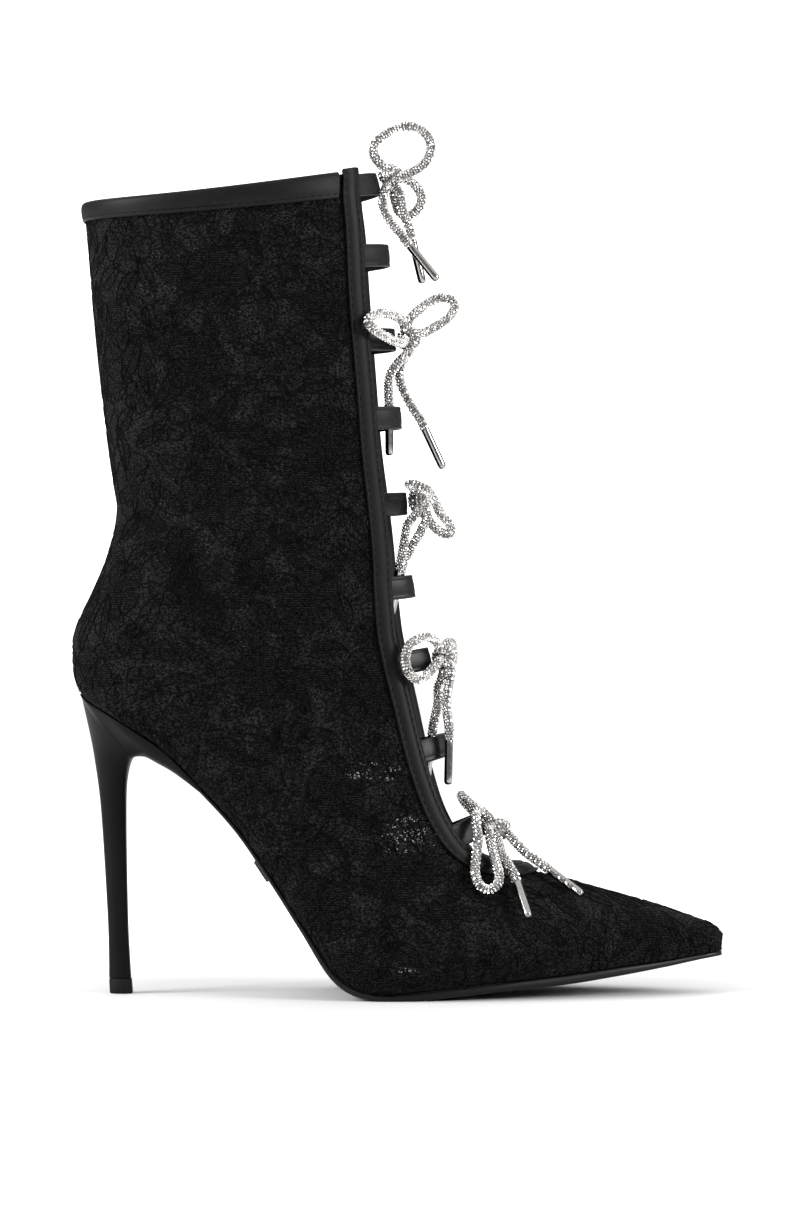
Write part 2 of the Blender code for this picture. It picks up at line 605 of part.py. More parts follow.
def make_outsole():
    """The sole: a thin plate under the upper's edge, flat on the floor under the ball."""
    rows = [row for row in upper_rows() if BREAST_ROW + 0.2 < row < TOE_ROW]
    rings = []
    for row in [BREAST_ROW] + rows:
        middle, down, sizes = bottom_frame(row)
        thick = smooth(np.array(SOLE_THICK), row - SOLE_FIRST)
        top = middle + down * GAP
        low = middle + down * (GAP + thick)
        low[2] = max(low[2], 0.0)
        outer = sizes["outer_edge"] + SOLE_MARGIN
        inner = sizes["inner_edge"] + SOLE_MARGIN
        shoulder = top + (low - top) * 0.6
        ring = []
        for level, width in ((top, 0.98), (shoulder, 1.0), (low, 0.93)):
            ring.append(level + np.array((0.0, inner * width, 0.0)))
        ring.append(low)
        for level, width in ((low, 0.93), (shoulder, 1.0), (top, 0.98)):
            ring.append(level - np.array((0.0, outer * width, 0.0)))
        ring.append(top)
        rings.append(ring)
    return add_rings("outsole", rings, "sole_black")


def make_insole():
    """The board inside, over the open bottom of the upper."""
    rings = []
    for row in [row for row in upper_rows() if bottom_row(INSOLE_BACK) < row <= TOE_ROW - 1.0]:
        middle, down, sizes = bottom_frame(row)
        low = middle - down * GAP
        top = middle - down * (GAP + INSOLE_THICK)
        back = round_end(bottom_length(SEAT_ROW, row) - INSOLE_BACK, SEAT_REACH - INSOLE_BACK)
        outer = (sizes["outer"] - sizes["tuck"] - INSOLE_MARGIN) * back
        inner = (sizes["inner"] - sizes["tuck"] - INSOLE_MARGIN) * back
        rings.append([
            low + np.array((0.0, inner, 0.0)),
            low - np.array((0.0, outer, 0.0)),
            top - np.array((0.0, outer, 0.0)),
            top,
            top + np.array((0.0, inner, 0.0)),
        ])
    return add_rings("insole", rings, "insole_lining")


def heel_ring(back, front, back_half, half, front_half, widest):
    """A closed section of the heel between a back and a front point, with a flat at each end."""
    steps = np.linspace(0.0, math.pi / 2.0, 5)
    halves = []
    for angle in steps:
        halves.append((widest * (1.0 - math.cos(angle)), back_half + (half - back_half) * math.sin(angle)))
    for angle in steps[1:]:
        across = front_half + (half - front_half) * math.cos(angle)
        halves.append((widest + (1.0 - widest) * math.sin(angle), across))
    ring = []
    for share, across in halves:
        ring.append(back + (front - back) * share + np.array((0.0, across, 0.0)))
    for share, across in halves[::-1]:
        ring.append(back + (front - back) * share - np.array((0.0, across, 0.0)))
    return ring


def make_heel():
    """The covered stiletto: its stem, then the cup and lip under the heel seat."""
    stem = np.array(STEM)
    rings = []
    for at in np.linspace(0.0, len(STEM) - 1.0, 15):
        sizes = dict(zip(STEM_COLUMNS, smooth(stem, at)))
        back = np.array((sizes["back_x"], 0.0, sizes["back_z"]))
        front = np.array((sizes["front_x"], 0.0, sizes["front_z"]))
        rings.append(heel_ring(back, front, 0.5, sizes["half"], sizes["breast"], 0.55))
    for row in CUP:
        sizes = dict(zip(CUP_COLUMNS, row))
        middle, down, foot = bottom_frame(bottom_row(sizes["along"]))
        seat = middle + down * 1.5 * GAP
        under = np.array((sizes["under_x"], 0.0, sizes["under_z"]))
        half = foot["outer_edge"] + SEAT_MARGIN
        side = max(half + 0.3, sizes["side"])
        rings.append(heel_ring(seat, under, half, side, sizes["under"], sizes["widest"]))
    middle, down, foot = bottom_frame(BREAST_ROW - 0.04)
    seat = middle + down * GAP
    half = foot["outer_edge"] + SOLE_MARGIN
    rings.append(heel_ring(seat, seat + down * LIP_THICK, half, half + 0.1, half * 0.95, 0.5))
    return add_rings("heel", rings, "heel_cover")


def make_heel_tip():
    rings = []
    for row in TIP:
        sizes = dict(zip(STEM_COLUMNS, row))
        back = np.array((sizes["back_x"], 0.0, sizes["back_z"]))
        front = np.array((sizes["front_x"], 0.0, sizes["front_z"]))
        rings.append(heel_ring(back, front, 0.5, sizes["half"], sizes["breast"], 0.55))
    return add_rings("heel_tip", rings, "rubber_tip")


def make_waist_plate():
    length, width, thick = PLATE
    middle, down, sizes = bottom_frame(PLATE_ROW)
    run = np.array((-down[2], 0.0, down[0]))
    face = middle + down * (2.0 * GAP + 0.15 + smooth(np.array(SOLE_THICK), PLATE_ROW - SOLE_FIRST))
    rings = []
    for drop, inset in ((0.0, 0.0), (thick * 0.6, 0.0), (thick, 0.4)):
        ring = []
        for turn in np.radians(np.arange(11.25, 360.0, 22.5)):
            bulge = (abs(math.cos(turn)) ** 6 + abs(math.sin(turn)) ** 6) ** (-1.0 / 6.0)
            forward = (length / 2.0 - inset) * bulge * math.cos(turn)
            across = (width / 2.0 - inset) * bulge * math.sin(turn)
            ring.append(face + down * drop + run * forward + np.array((0.0, across, 0.0)))
        rings.append(ring)
    return add_rings("waist_plate", rings, "plate_metal")


def route_points(points):
    """Evenly spaced points of a smooth curve through a route."""
    rows = np.array(points)
    fine = np.array([smooth(rows, at) for at in np.linspace(0.0, len(rows) - 1.0, 20 * len(rows))])
    lengths = np.concatenate([[0.0], np.cumsum(np.linalg.norm(np.diff(fine, axis=0), axis=1))])
    count = max(int(round(lengths[-1] / CORD_STEP)), 3) + 1
    even = np.linspace(0.0, lengths[-1], count)
    return np.stack([np.interp(even, lengths, fine[:, axis]) for axis in range(3)], axis=1)


def add_cord(name, points):
    curve = bpy.data.curves.new(name, "CURVE")
    curve.dimensions = "3D"
    curve.bevel_depth = CORD / 2.0 * MM
    curve.bevel_resolution = 2
    curve.use_fill_caps = True
    even = route_points(points)
    spline = curve.splines.new("POLY")
    spline.points.add(len(even) - 1)
    for slot, point in zip(spline.points, even):
        slot.co = (*((Vector(point) - ORIGIN) * MM), 1.0)
    return add_object(name, curve, "rhinestone_cord")


def on_knot(centre, point):
    """Where a strand towards this point leaves the knot's ball."""
    away = np.array(point) / np.linalg.norm(point)
    return centre + away * (KNOT + 2.7 * GAP)


def make_knot(name, centre):
    rings = []
    for tilt in np.radians((-78.0, -48.0, -16.0, 16.0, 48.0, 78.0)):
        ring = []
        for turn in np.radians(np.arange(0.0, 360.0, 36.0)):
            flat = math.cos(tilt)
            spoke = np.array((flat * math.cos(turn), flat * math.sin(turn), math.sin(tilt)))
            ring.append(centre + spoke * KNOT)
        rings.append(ring)
    return add_rings(name, rings, "rhinestone_cord")


def make_aglet(name, start, towards):
    length, radius = AGLET
    run = Vector(towards - start).normalized()
    side = run.cross(Vector((0.0, 1.0, 0.0))).normalized()
    other = run.cross(side)
    mouth = 1.5 * GAP
    profile = ((mouth, 0.94), (mouth + 0.4, 1.0), (length - 1.2, 1.0), (length - 0.4, 0.75), (length, 0.3))
    rings = []
    for along, size in profile:
        ring = []
        for turn in np.radians(np.arange(0.0, 360.0, 45.0)):
            spoke = side * math.cos(turn) + other * math.sin(turn)
            ring.append(np.array(Vector(start) + run * along + spoke * radius * size))
        rings.append(ring)
    return add_rings(name, rings, "aglet_metal")


def make_bow(number, bow):
    """A bow sewn to the front of its bar: knot, two loops, and two ends with their aglets."""
    along = front_length(STRAP_HEIGHTS[bow["strap"] - 1]) - bow["rise"]
    centre = front_offset(along, 0.0, KNOT + 1.5 * GAP)
    make_knot("bow_%d_knot" % number, centre)
    for side in ("outer", "inner"):
        loop = bow[side + "_loop"]
        points = [on_knot(centre, loop[0])] + [centre + np.array(p) for p in loop]
        points.append(on_knot(centre, loop[-1]))
        add_cord("bow_%d_%s_loop" % (number, side), points)
        end = bow[side + "_end"]
        points = [on_knot(centre, end[0])] + [centre + np.array(p) for p in end]
        tip = centre + np.array(bow[side + "_tip"])
        points.append(points[-1] + (tip - points[-1]) / np.linalg.norm(tip - points[-1]) * CORD)
        add_cord("bow_%d_%s_end" % (number, side), points)
        make_aglet("bow_%d_%s_aglet" % (number, side), points[-1], tip)


make_upper()
make_collar_binding()
make_throat_binding()
for number in range(1, len(STRAP_HEIGHTS) + 1):
    make_strap(number)
make_insole()
make_outsole()
make_heel()
make_heel_tip()
make_waist_plate()
for number, bow in enumerate(BOWS, 1):
    make_bow(number, bow)
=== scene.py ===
import math
import random

import bpy
import numpy as np
from mathutils import Matrix, Vector
from mathutils.bvhtree import BVHTree


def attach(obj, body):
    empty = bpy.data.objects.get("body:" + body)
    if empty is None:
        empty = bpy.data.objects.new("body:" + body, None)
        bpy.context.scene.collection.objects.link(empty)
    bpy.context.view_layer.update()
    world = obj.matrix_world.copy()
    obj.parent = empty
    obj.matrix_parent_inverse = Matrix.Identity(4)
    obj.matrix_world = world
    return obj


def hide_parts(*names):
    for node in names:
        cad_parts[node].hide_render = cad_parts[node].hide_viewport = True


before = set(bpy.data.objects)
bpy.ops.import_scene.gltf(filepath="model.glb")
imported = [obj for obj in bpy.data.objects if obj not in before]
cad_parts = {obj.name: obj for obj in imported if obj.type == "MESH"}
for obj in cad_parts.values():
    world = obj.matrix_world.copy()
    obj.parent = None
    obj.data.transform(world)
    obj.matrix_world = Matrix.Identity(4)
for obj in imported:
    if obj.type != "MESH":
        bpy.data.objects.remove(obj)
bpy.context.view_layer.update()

# Upper: one shell of black floral lace on net, lined inside and pulled over a pointed right last.
# It is open at the collar, down the front and underneath, where it is glued between insole and sole.
# Sizes are in millimetres. MM turns them into metres, and ORIGIN is the middle of the boot's own box.
MM = 0.001
ORIGIN = np.array((0.4, 0.85, 0.0))
LACE_WALL = 1.3

# The last, a row for each section from the collar down the shaft, round the heel and out to the toe. Its
# two ends are seen from the side. Then come its half-widths, how far its bottom edge tucks in, where it is
# widest, how round its front is, how far it bends inwards and how far its sides dip.
LAST_COLUMNS = (
    "back_x", "back_z", "front_x", "front_z", "outer", "inner", "tuck", "widest", "round", "bend", "dip",
)
LAST = np.array((
    (-109.7, 275.0, -7.5, 287.0, 37.0, 37.0, 0.0, 0.47, 2.00, 0.0, 3.0),
    (-108.3, 263.5, -4.0, 270.0, 36.5, 36.5, 0.0, 0.47, 2.00, 0.0, 2.2),
    (-106.3, 239.0, -1.8, 242.5, 35.5, 35.5, 0.0, 0.47, 2.00, 0.0, 0.9),
    (-103.5, 211.0, 0.2, 216.0, 34.2, 34.2, 0.0, 0.47, 2.00, 0.0, 0.0),
    (-100.5, 186.5, 1.8, 193.5, 32.6, 32.6, 0.0, 0.46, 2.00, 0.0, 0.0),
    (-98.6, 168.5, 3.0, 176.0, 31.6, 31.6, 0.0, 0.45, 2.00, 0.0, 0.0),
    (-101.0, 153.0, 3.8, 162.0, 31.5, 31.5, 0.0, 0.44, 2.00, 0.0, 0.0),
    (-106.5, 140.5, 4.6, 151.5, 31.8, 31.8, 0.0, 0.42, 2.00, 0.0, 0.0),
    (-112.0, 129.0, 5.6, 143.0, 31.8, 31.8, 0.0, 0.41, 1.98, 0.0, 0.0),
    (-113.6, 120.0, 7.2, 135.0, 31.5, 31.5, 0.0, 0.40, 1.95, 0.0, 0.0),
    (-111.0, 106.0, 9.2, 127.0, 31.0, 31.0, 5.5, 0.38, 1.92, 0.0, 0.0),
    (-97.0, 96.5, 12.0, 115.0, 30.5, 30.5, 5.5, 0.36, 1.90, 0.0, 0.0),
    (-81.5, 86.5, 14.2, 104.0, 30.5, 30.5, 5.5, 0.34, 1.88, 0.0, 0.0),
    (-67.0, 72.1, 17.0, 92.0, 30.5, 30.5, 6.5, 0.32, 1.85, -0.5, 0.0),
    (-54.3, 57.9, 20.6, 79.0, 30.8, 30.5, 9.0, 0.30, 1.83, -1.0, 0.0),
    (-42.2, 40.2, 25.6, 66.0, 32.0, 31.0, 10.0, 0.28, 1.80, -1.2, 0.0),
    (-31.8, 24.6, 33.0, 53.5, 34.5, 33.0, 9.0, 0.27, 1.76, -1.0, 0.0),
    (-20.0, 8.0, 42.5, 45.5, 37.5, 36.0, 7.0, 0.26, 1.72, -0.5, 0.0),
    (-8.0, 2.8, 51.5, 41.7, 39.5, 38.5, 5.0, 0.25, 1.70, 0.2, 0.0),
    (8.0, 3.5, 59.8, 39.8, 39.0, 40.0, 4.0, 0.26, 1.68, 1.0, 0.0),
    (32.5, 5.8, 70.0, 36.7, 34.0, 36.5, 3.0, 0.28, 1.70, 2.4, 0.0),
    (57.0, 7.9, 81.5, 33.5, 26.0, 29.0, 2.2, 0.30, 1.74, 4.0, 0.0),
    (78.0, 10.2, 92.0, 30.4, 18.5, 20.5, 1.6, 0.32, 1.80, 5.2, 0.0),
    (93.5, 11.8, 102.3, 26.8, 12.0, 13.0, 1.2, 0.35, 1.88, 6.0, 0.0),
    (106.3, 13.6, 110.6, 23.7, 6.6, 6.8, 0.9, 0.40, 1.95, 6.4, 0.0),
    (113.8, 14.5, 114.4, 20.0, 4.4, 4.4, 0.7, 0.45, 2.00, 6.5, 0.0),
))
# Rows of the heel seat and of the toe's tip, and how round the back, the seat and the tip are.
SEAT_ROW = 10.0
TOE_ROW = len(LAST) - 1.0
BACK_ROUND = 2.2
SEAT_REACH = 26.0
TOE_REACH = 7.0
# The open front: half-widths from the collar to its U, how much nearer the inner edge lies, how far its
# upper corners lean in and over what length, and the row, length and roundness of the U.
OPENING_HALF = np.array((20.0, 20.2, 18.2, 15.2, 15.6, 17.2))
INNER_NEARER = np.array((0.4, 1.0, 0.65, 1.5, 1.5, 0.8))
CORNER_LEAN = (2.0, 14.0)
OPENING_ROW = 17.0
U_LENGTH = 20.0
U_ROUND = 2.4
# Lines of the shell's mesh, with extra ones near the ends of the bottom, by their length along it. Points
# closer together than the last value are merged.
UPPER_ROWS = 205
UPPER_COLUMNS = 101
SIDE_STEPS = 90
SEAT_LINES = (0.15, 0.5, 1.0, 1.8)
TOE_LINES = (2.6, 1.5, 0.8, 0.35, 0.1, 0.0)
MERGED_UNDER = 0.004

# Soft troughs and ridges of the worn cloth, seen from the side: two ends, depth and width.
CREASE_COLUMNS = ("x1", "z1", "x2", "z2", "depth", "width")
CREASES = (
    (-94.0, 170.0, -52.0, 119.0, 2.6, 6.5),
    (-101.0, 152.0, -72.0, 112.0, -1.0, 7.0),
    (-70.0, 172.0, -36.0, 140.0, -0.6, 9.0),
    (-40.0, 158.0, -14.0, 147.0, 0.8, 7.0),
    (-34.0, 120.0, -6.0, 108.0, 0.6, 7.0),
    (-84.0, 212.0, -44.0, 200.0, 0.5, 10.0),
    (-52.0, 246.0, -26.0, 236.0, -0.5, 11.0),
)
# A crease fades to its ends like a half wave, with this share of the wave cut off at each.
CREASE_FADE = 0.15


def smooth(rows, at):
    """A smooth curve through evenly numbered rows, read at the row number given."""
    last = len(rows) - 1
    i = min(max(int(at), 0), last - 1)
    u = at - i
    p, q, r, s = (rows[min(max(i + k, 0), last)] for k in (-1, 0, 1, 2))
    return 0.5 * (2 * q + (r - p) * u + (2 * p - 5 * q + 4 * r - s) * u**2 + (3 * q - p - 3 * r + s) * u**3)


def lengths_along(points):
    steps = np.linalg.norm(np.diff(points, axis=0), axis=1)
    return np.concatenate([[0.0], np.cumsum(steps)])


def spread(points, at):
    """Points of a line at the given lengths along it."""
    lengths = lengths_along(points)
    return np.stack([np.interp(at, lengths, points[:, axis]) for axis in range(3)], axis=1)


def round_end(distance, reach):
    share = min(max(distance / reach, 0.0), 1.0)
    return math.sqrt(1.0 - (1.0 - share) ** 2)


BOTTOM_STEPS = np.linspace(SEAT_ROW, TOE_ROW, 301)
BOTTOM_LENGTHS = lengths_along(np.array([smooth(LAST, row)[:2] for row in BOTTOM_STEPS]))
FRONT_STEPS = np.linspace(0.0, TOE_ROW, 601)
FRONT_LINE = np.array([smooth(LAST, row)[2:4] for row in FRONT_STEPS])
FRONT_LENGTHS = lengths_along(FRONT_LINE)
OPENING_LENGTH = float(np.interp(OPENING_ROW, FRONT_STEPS, FRONT_LENGTHS))


def bottom_length(first, second):
    ends = np.interp([first, second], BOTTOM_STEPS, BOTTOM_LENGTHS)
    return float(ends[1] - ends[0])


def bottom_row(along):
    return float(np.interp(along, BOTTOM_LENGTHS, BOTTOM_STEPS))


def section(row):
    """The sizes of the last's section at a row number, which may fall between two rows."""
    sizes = dict(zip(LAST_COLUMNS, smooth(LAST, row)))
    tip = round_end(bottom_length(row, TOE_ROW), TOE_REACH)
    seat = round_end(bottom_length(SEAT_ROW, row), SEAT_REACH) if row > SEAT_ROW else 0.0
    for side in ("outer", "inner"):
        sizes[side + "_edge"] = (sizes[side] - sizes["tuck"]) * tip * seat
        sizes[side] *= tip
    return sizes


def opening_half(along, side):
    """Half-width of the front opening on one side at a length down the front, 0 past the bottom of its U."""
    reach = OPENING_LENGTH - U_LENGTH
    at = np.clip(along / reach, 0.0, 1.0) * (len(OPENING_HALF) - 1)
    width = smooth(OPENING_HALF, at)
    if side == "inner":
        width -= smooth(INNER_NEARER, at)
    width -= CORNER_LEAN[0] * np.clip(1.0 - along / CORNER_LEAN[1], 0.0, 1.0) ** 2
    share = (along - reach) / U_LENGTH
    if share >= 1.0:
        return 0.0
    return width * (1.0 - max(share, 0.0) ** U_ROUND) ** (1.0 / U_ROUND)


def front_share(sizes, across):
    half = sizes["outer"] if across < 0 else sizes["inner"]
    part = min(abs(across) / max(half, 1e-6), 1.0)
    reach = (1.0 - part ** sizes["round"]) ** (1.0 / sizes["round"])
    return sizes["widest"] + (1.0 - sizes["widest"]) * reach


def place(sizes, share, across):
    """Points of a section from their share of the way to the front and their distance from the middle."""
    x = sizes["back_x"] + (sizes["front_x"] - sizes["back_x"]) * share
    z = sizes["back_z"] + (sizes["front_z"] - sizes["back_z"]) * share
    side = across / max(sizes["outer"], 1e-6)
    return np.stack(np.broadcast_arrays(x, sizes["bend"] + across, z - sizes["dip"] * side * side), axis=-1)


def half_line(row, side):
    """One side of a section as a fine line, from the edge of the opening or the ridge to the bottom."""
    sizes = section(row)
    sign = -1.0 if side == "outer" else 1.0
    half = sizes[side]
    edge = sizes[side + "_edge"]
    widest = sizes["widest"]
    along = float(np.interp(row, FRONT_STEPS, FRONT_LENGTHS))
    start = front_share(sizes, sign * opening_half(along, side))
    turn = math.asin(min(((start - widest) / (1.0 - widest)) ** (sizes["round"] / 2.0), 1.0))
    front = np.linspace(turn, 0.0, SIDE_STEPS)
    back = np.linspace(0.0, math.pi / 2.0, SIDE_STEPS)[1:]
    share = np.concatenate([
        widest + (1.0 - widest) * np.sin(front) ** (2.0 / sizes["round"]),
        widest * (1.0 - np.sin(back) ** (2.0 / BACK_ROUND)),
    ])
    across = np.concatenate([
        half * np.cos(front) ** (2.0 / sizes["round"]),
        edge + (half - edge) * np.maximum(np.cos(back), 0.0) ** (2.0 / BACK_ROUND),
    ])
    return place(sizes, share, sign * across)


def upper_rows():
    """Row numbers of the shell, even along the boot and closer round the U, the heel seat and the toe."""
    steps = np.linspace(0.0, TOE_ROW, 1001)
    ends = np.array([smooth(LAST, row)[:4] for row in steps])
    lengths = (lengths_along(ends[:, :2]) + lengths_along(ends[:, 2:])) / 2.0
    even = np.interp(np.linspace(0.0, lengths[-1], UPPER_ROWS), lengths, steps)
    turns = np.radians(np.arange(6.0, 91.0, 6.0))
    around = OPENING_LENGTH - U_LENGTH + U_LENGTH * np.sin(turns) ** (2.0 / U_ROUND)
    throat = np.interp(around, FRONT_LENGTHS, FRONT_STEPS)
    seat = [bottom_row(along) for along in SEAT_LINES]
    toe = [bottom_row(BOTTOM_LENGTHS[-1] - left) for left in TOE_LINES]
    every = np.unique(np.concatenate([even, [SEAT_ROW], throat, seat, toe]))
    return every[np.concatenate([[True], np.diff(every) > 1e-5])]


def pick(*pieces):
    """Selects these pieces alone, with the first of them active, or nothing when none is given."""
    bpy.ops.object.select_all(action="DESELECT")
    for piece in pieces:
        piece.select_set(True)
    if pieces:
        bpy.context.view_layer.objects.active = pieces[0]


def mesh_points(mesh, what):
    values = np.empty(len(mesh.vertices) * 3, np.float32)
    mesh.vertices.foreach_get(what, values)
    return values.reshape(-1, 3).astype(float)


def grid_through(name, rings, around=False):
    """A grid whose points are moved onto rows of points, with a UV map in metres. around closes each row."""
    rows, columns = rings.shape[:2]
    wide = columns if around else columns - 1
    pick()
    bpy.ops.mesh.primitive_grid_add(x_subdivisions=wide, y_subdivisions=rows - 1, size=1.0)
    piece = bpy.context.object
    piece.name = name
    mesh = piece.data
    mesh.name = name
    start = mesh_points(mesh, "co")
    i = np.rint((start[:, 0] + 0.5) * wide).astype(int)
    j = np.rint((start[:, 1] + 0.5) * (rows - 1)).astype(int)
    points = (rings[j, i % columns] - ORIGIN) * MM
    mesh.vertices.foreach_set("co", points.astype(np.float32).ravel())
    middle = rings[rows // 2]
    if around:
        middle = np.concatenate([middle, middle[:1]])
    u = lengths_along(middle)[i] * MM
    v = lengths_along(rings[:, columns // 2])[j] * MM
    corners = np.empty(len(mesh.loops), np.int32)
    mesh.loops.foreach_get("vertex_index", corners)
    mesh.uv_layers.active.data.foreach_set("uv", np.stack([u, v], axis=1)[corners].astype(np.float32).ravel())
    mesh.update()
    return piece


def close_up(piece, angle, caps=True):
    """Merges doubled points, closes open ends, turns the faces outwards and smooths the shading."""
    pick(piece)
    bpy.ops.object.mode_set(mode="EDIT")
    bpy.ops.mesh.select_all(action="SELECT")
    bpy.ops.mesh.remove_doubles(threshold=MERGED_UNDER * MM)
    if caps:
        bpy.ops.mesh.select_all(action="DESELECT")
        bpy.ops.mesh.select_non_manifold()
        bpy.ops.mesh.fill_holes(sides=0)
        bpy.ops.mesh.select_all(action="SELECT")
        bpy.ops.mesh.normals_make_consistent(inside=False)
    bpy.ops.object.mode_set(mode="OBJECT")
    bpy.ops.object.shade_smooth_by_angle(angle=math.radians(angle))
    return piece


def closed_skin(name, rings, angle):
    """A skin round rows of points, capped at both ends, and smooth where it bends by less than the angle."""
    return close_up(grid_through(name, np.array(rings), around=True), angle)


sides = []
for side in ("outer", "inner"):
    lines = [half_line(row, side) for row in upper_rows()]
    rings = np.array([
        spread(line, np.linspace(0.0, lengths_along(line)[-1], UPPER_COLUMNS)) for line in lines
    ])
    sides.append(grid_through("lace_upper_" + side, rings if side == "outer" else rings[:, ::-1]))
pick(*sides)
bpy.ops.object.join()
upper = close_up(sides[0], 60.0, caps=False)
upper.name = "lace_upper"

points = mesh_points(upper.data, "co") / MM
normals = mesh_points(upper.data, "normal")
shift = np.zeros(len(points))
for row in CREASES:
    crease = dict(zip(CREASE_COLUMNS, row))
    start = np.array((crease["x1"], crease["z1"]))
    run = np.array((crease["x2"], crease["z2"])) - start
    seen = points[:, (0, 2)] - start
    share = np.clip(seen @ run / (run @ run), 0.0, 1.0)
    away = np.linalg.norm(seen - share[:, None] * run, axis=1)
    fade = np.sin(np.pi * (CREASE_FADE + (1.0 - 2.0 * CREASE_FADE) * share))
    shift -= crease["depth"] * np.exp(-((away / crease["width"]) ** 2)) * fade
deepest = max(row[CREASE_COLUMNS.index("depth")] for row in CREASES)
# This mark paints the lace darker in crease troughs: partly closer cloth, partly painted shade.
gathered_and_crease_shade = np.clip(-shift / deepest, 0.0, 1.0)
points += normals * shift[:, None]
upper.data.vertices.foreach_set("co", (points * MM).astype(np.float32).ravel())
upper.data.update()
normals = mesh_points(upper.data, "normal")

# Pattern of the lace: blooms, buds and leaves on stalks, and dots in the net left over, all outlined by
# raised gimp cord. A fixed seed keeps the layout. Outlines are drawn flat and dropped onto the shell.
# Each kind: sizes, room round its middle, how much of the others' room it keeps clear of, and tries.
MOTIF_COLUMNS = ("least", "most", "room", "own", "clear", "tries")
MOTIFS = {
    "bloom": (10.8, 12.8, 13.4, 13.4, 1.0, 6000),
    "bud": (6.0, 7.2, 7.0, 7.0, 1.0, 9000),
    "leaf": (13.0, 18.0, 7.0, 4.2, 0.56, 24000),
    "dot": (0.8, 1.15, 1.7, 1.7, 1.0, 16000),
}
# A petal's outline: share of the bloom's size from its middle, and share of the petal's half-angle.
BLOOM_PETAL = (
    (0.22, -0.25), (0.42, -0.60), (0.66, -0.93), (0.86, -0.98), (0.97, -0.68), (0.93, -0.36), (1.01, 0.0),
    (0.93, 0.36), (0.97, 0.68), (0.86, 0.98), (0.66, 0.93), (0.42, 0.60), (0.22, 0.25),
)
BUD_PETAL = (
    (0.20, -0.3), (0.5, -0.8), (0.8, -0.95), (0.98, -0.5), (1.02, 0.0), (0.98, 0.5), (0.8, 0.95),
    (0.5, 0.8), (0.20, 0.3),
)
# Petals of a flower, how their sizes vary, and how deep the closed work is notched between them.
BLOOM_LOBES = 5
BUD_LOBES = (4, 5)
PETAL_SIZES = (0.9, 1.05)
PETAL_NOTCH = 0.3
# Rays of a petal: their lean as a share of its half-angle, where they start and end, and how much shorter
# a leaning one is. Then the ring round a flower's middle and the eye in it, as shares of its size.
PETAL_RAYS = {"bloom": (-0.42, 0.0, 0.42), "bud": (0.0,)}
RAY_FROM = 0.32
RAY_TO = 0.78
RAY_SHORTER = 0.3
RING = 0.19
EYE = 0.09
# A leaf's half-width for its length, how blunt its ends are, and its scallops: least width, more width and
# number. Then how far it may bend and swing, and the share of leaves that are worked on one side alone.
LEAF_WIDTH = 0.2
LEAF_BLUNT = 0.8
LEAF_SCALLOPS = (0.92, 0.13, 4.5)
LEAF_BEND = 0.14
LEAF_SWING = 0.8
HALF_WORKED = 0.5
# Where its veins start, and how far they run along and across it. Its stalk runs to the nearest flower
# when that is within reach, and stops at a share of the flower's size from its middle.
LEAF_VEINS = (0.22, 0.38, 0.54, 0.7)
VEIN_RUN = 0.13
VEIN_REACH = 0.82
STALK_REACH = 26.0
STALK_STOPS = 0.9
# How far from a motif's plane the cloth still belongs to it, and how far the shell may lie beside a flat
# line, in square millimetres, before the line is broken there.
CLOTH_REACH = 9.0
MOST_SLIP = 1.5
# Gimp cord: the step between its points, the fewest steps of a line, its width, how far it stands up and is
# sunk in, how its ends taper, and its share of the full width on each kind of line.
GIMP_STEP = 1.1
FEWEST_STEPS = 3
GIMP_WIDTH = 0.65
GIMP_RISE = 0.4
GIMP_SUNK = 0.15
GIMP_POINT = 0.08
GIMP_TAPER = 0.7
GIMP_SHARES = {"rim": 1.0, "rib": 0.85, "vein": 0.6, "ring": 0.9, "eye": 0.8, "dot": 0.8}
shell = BVHTree.FromPolygons(
    [Vector(p) for p in points], [tuple(face.vertices) for face in upper.data.polygons], all_triangles=False
)
chance = random.Random(11)
order = list(range(len(points)))
motifs = []
taken = np.full((1, 3), 1e6)
rooms = np.zeros(1)
for kind, row in MOTIFS.items():
    sizes = dict(zip(MOTIF_COLUMNS, row))
    chance.shuffle(order)
    for at in order[:sizes["tries"]]:
        away = np.linalg.norm(taken - points[at], axis=1)
        if (away > rooms * sizes["clear"] + sizes["own"]).all():
            size = chance.uniform(sizes["least"], sizes["most"])
            motifs.append({"kind": kind, "centre": points[at], "normal": normals[at], "size": size})
            taken = np.concatenate([taken, points[at:at + 1]])
            rooms = np.append(rooms, sizes["room"])
flowers = [motif for motif in motifs if motif["kind"] in ("bloom", "bud")]


def across_cloth(normal, towards):
    """Two directions in the cloth, the first as near as it can be to the one given."""
    first = towards - normal * (towards @ normal)
    first /= np.linalg.norm(first)
    return first, np.cross(normal, first)


def petal_line(table, size, middle, half_angle):
    """A petal's outline as flat points, smoothed through its table."""
    rows = np.array(table)
    fine = np.array([smooth(rows, at) for at in np.linspace(0.0, len(rows) - 1.0, 60)])
    angle = middle + fine[:, 1] * half_angle
    return size * fine[:, :1] * np.stack([np.cos(angle), np.sin(angle)], axis=1)


def leaf_shape(length, bend, share):
    """A leaf's bent middle line and its half-width, by the share of the way along it."""
    inside = np.clip(share, 0.0, 1.0)
    least, more, count = LEAF_SCALLOPS
    scallops = least + more * np.abs(np.sin(count * np.pi * inside))
    half = LEAF_WIDTH * length * np.sin(np.pi * inside) ** LEAF_BLUNT * scallops
    return bend * (2.0 * share - 1.0) ** 2, half


def ring_line(radius):
    angle = np.linspace(0.0, 2.0 * math.pi, 40)
    return radius * np.stack([np.cos(angle), np.sin(angle)], axis=1)


gimp_lines = {"blooms": [], "leaves": []}


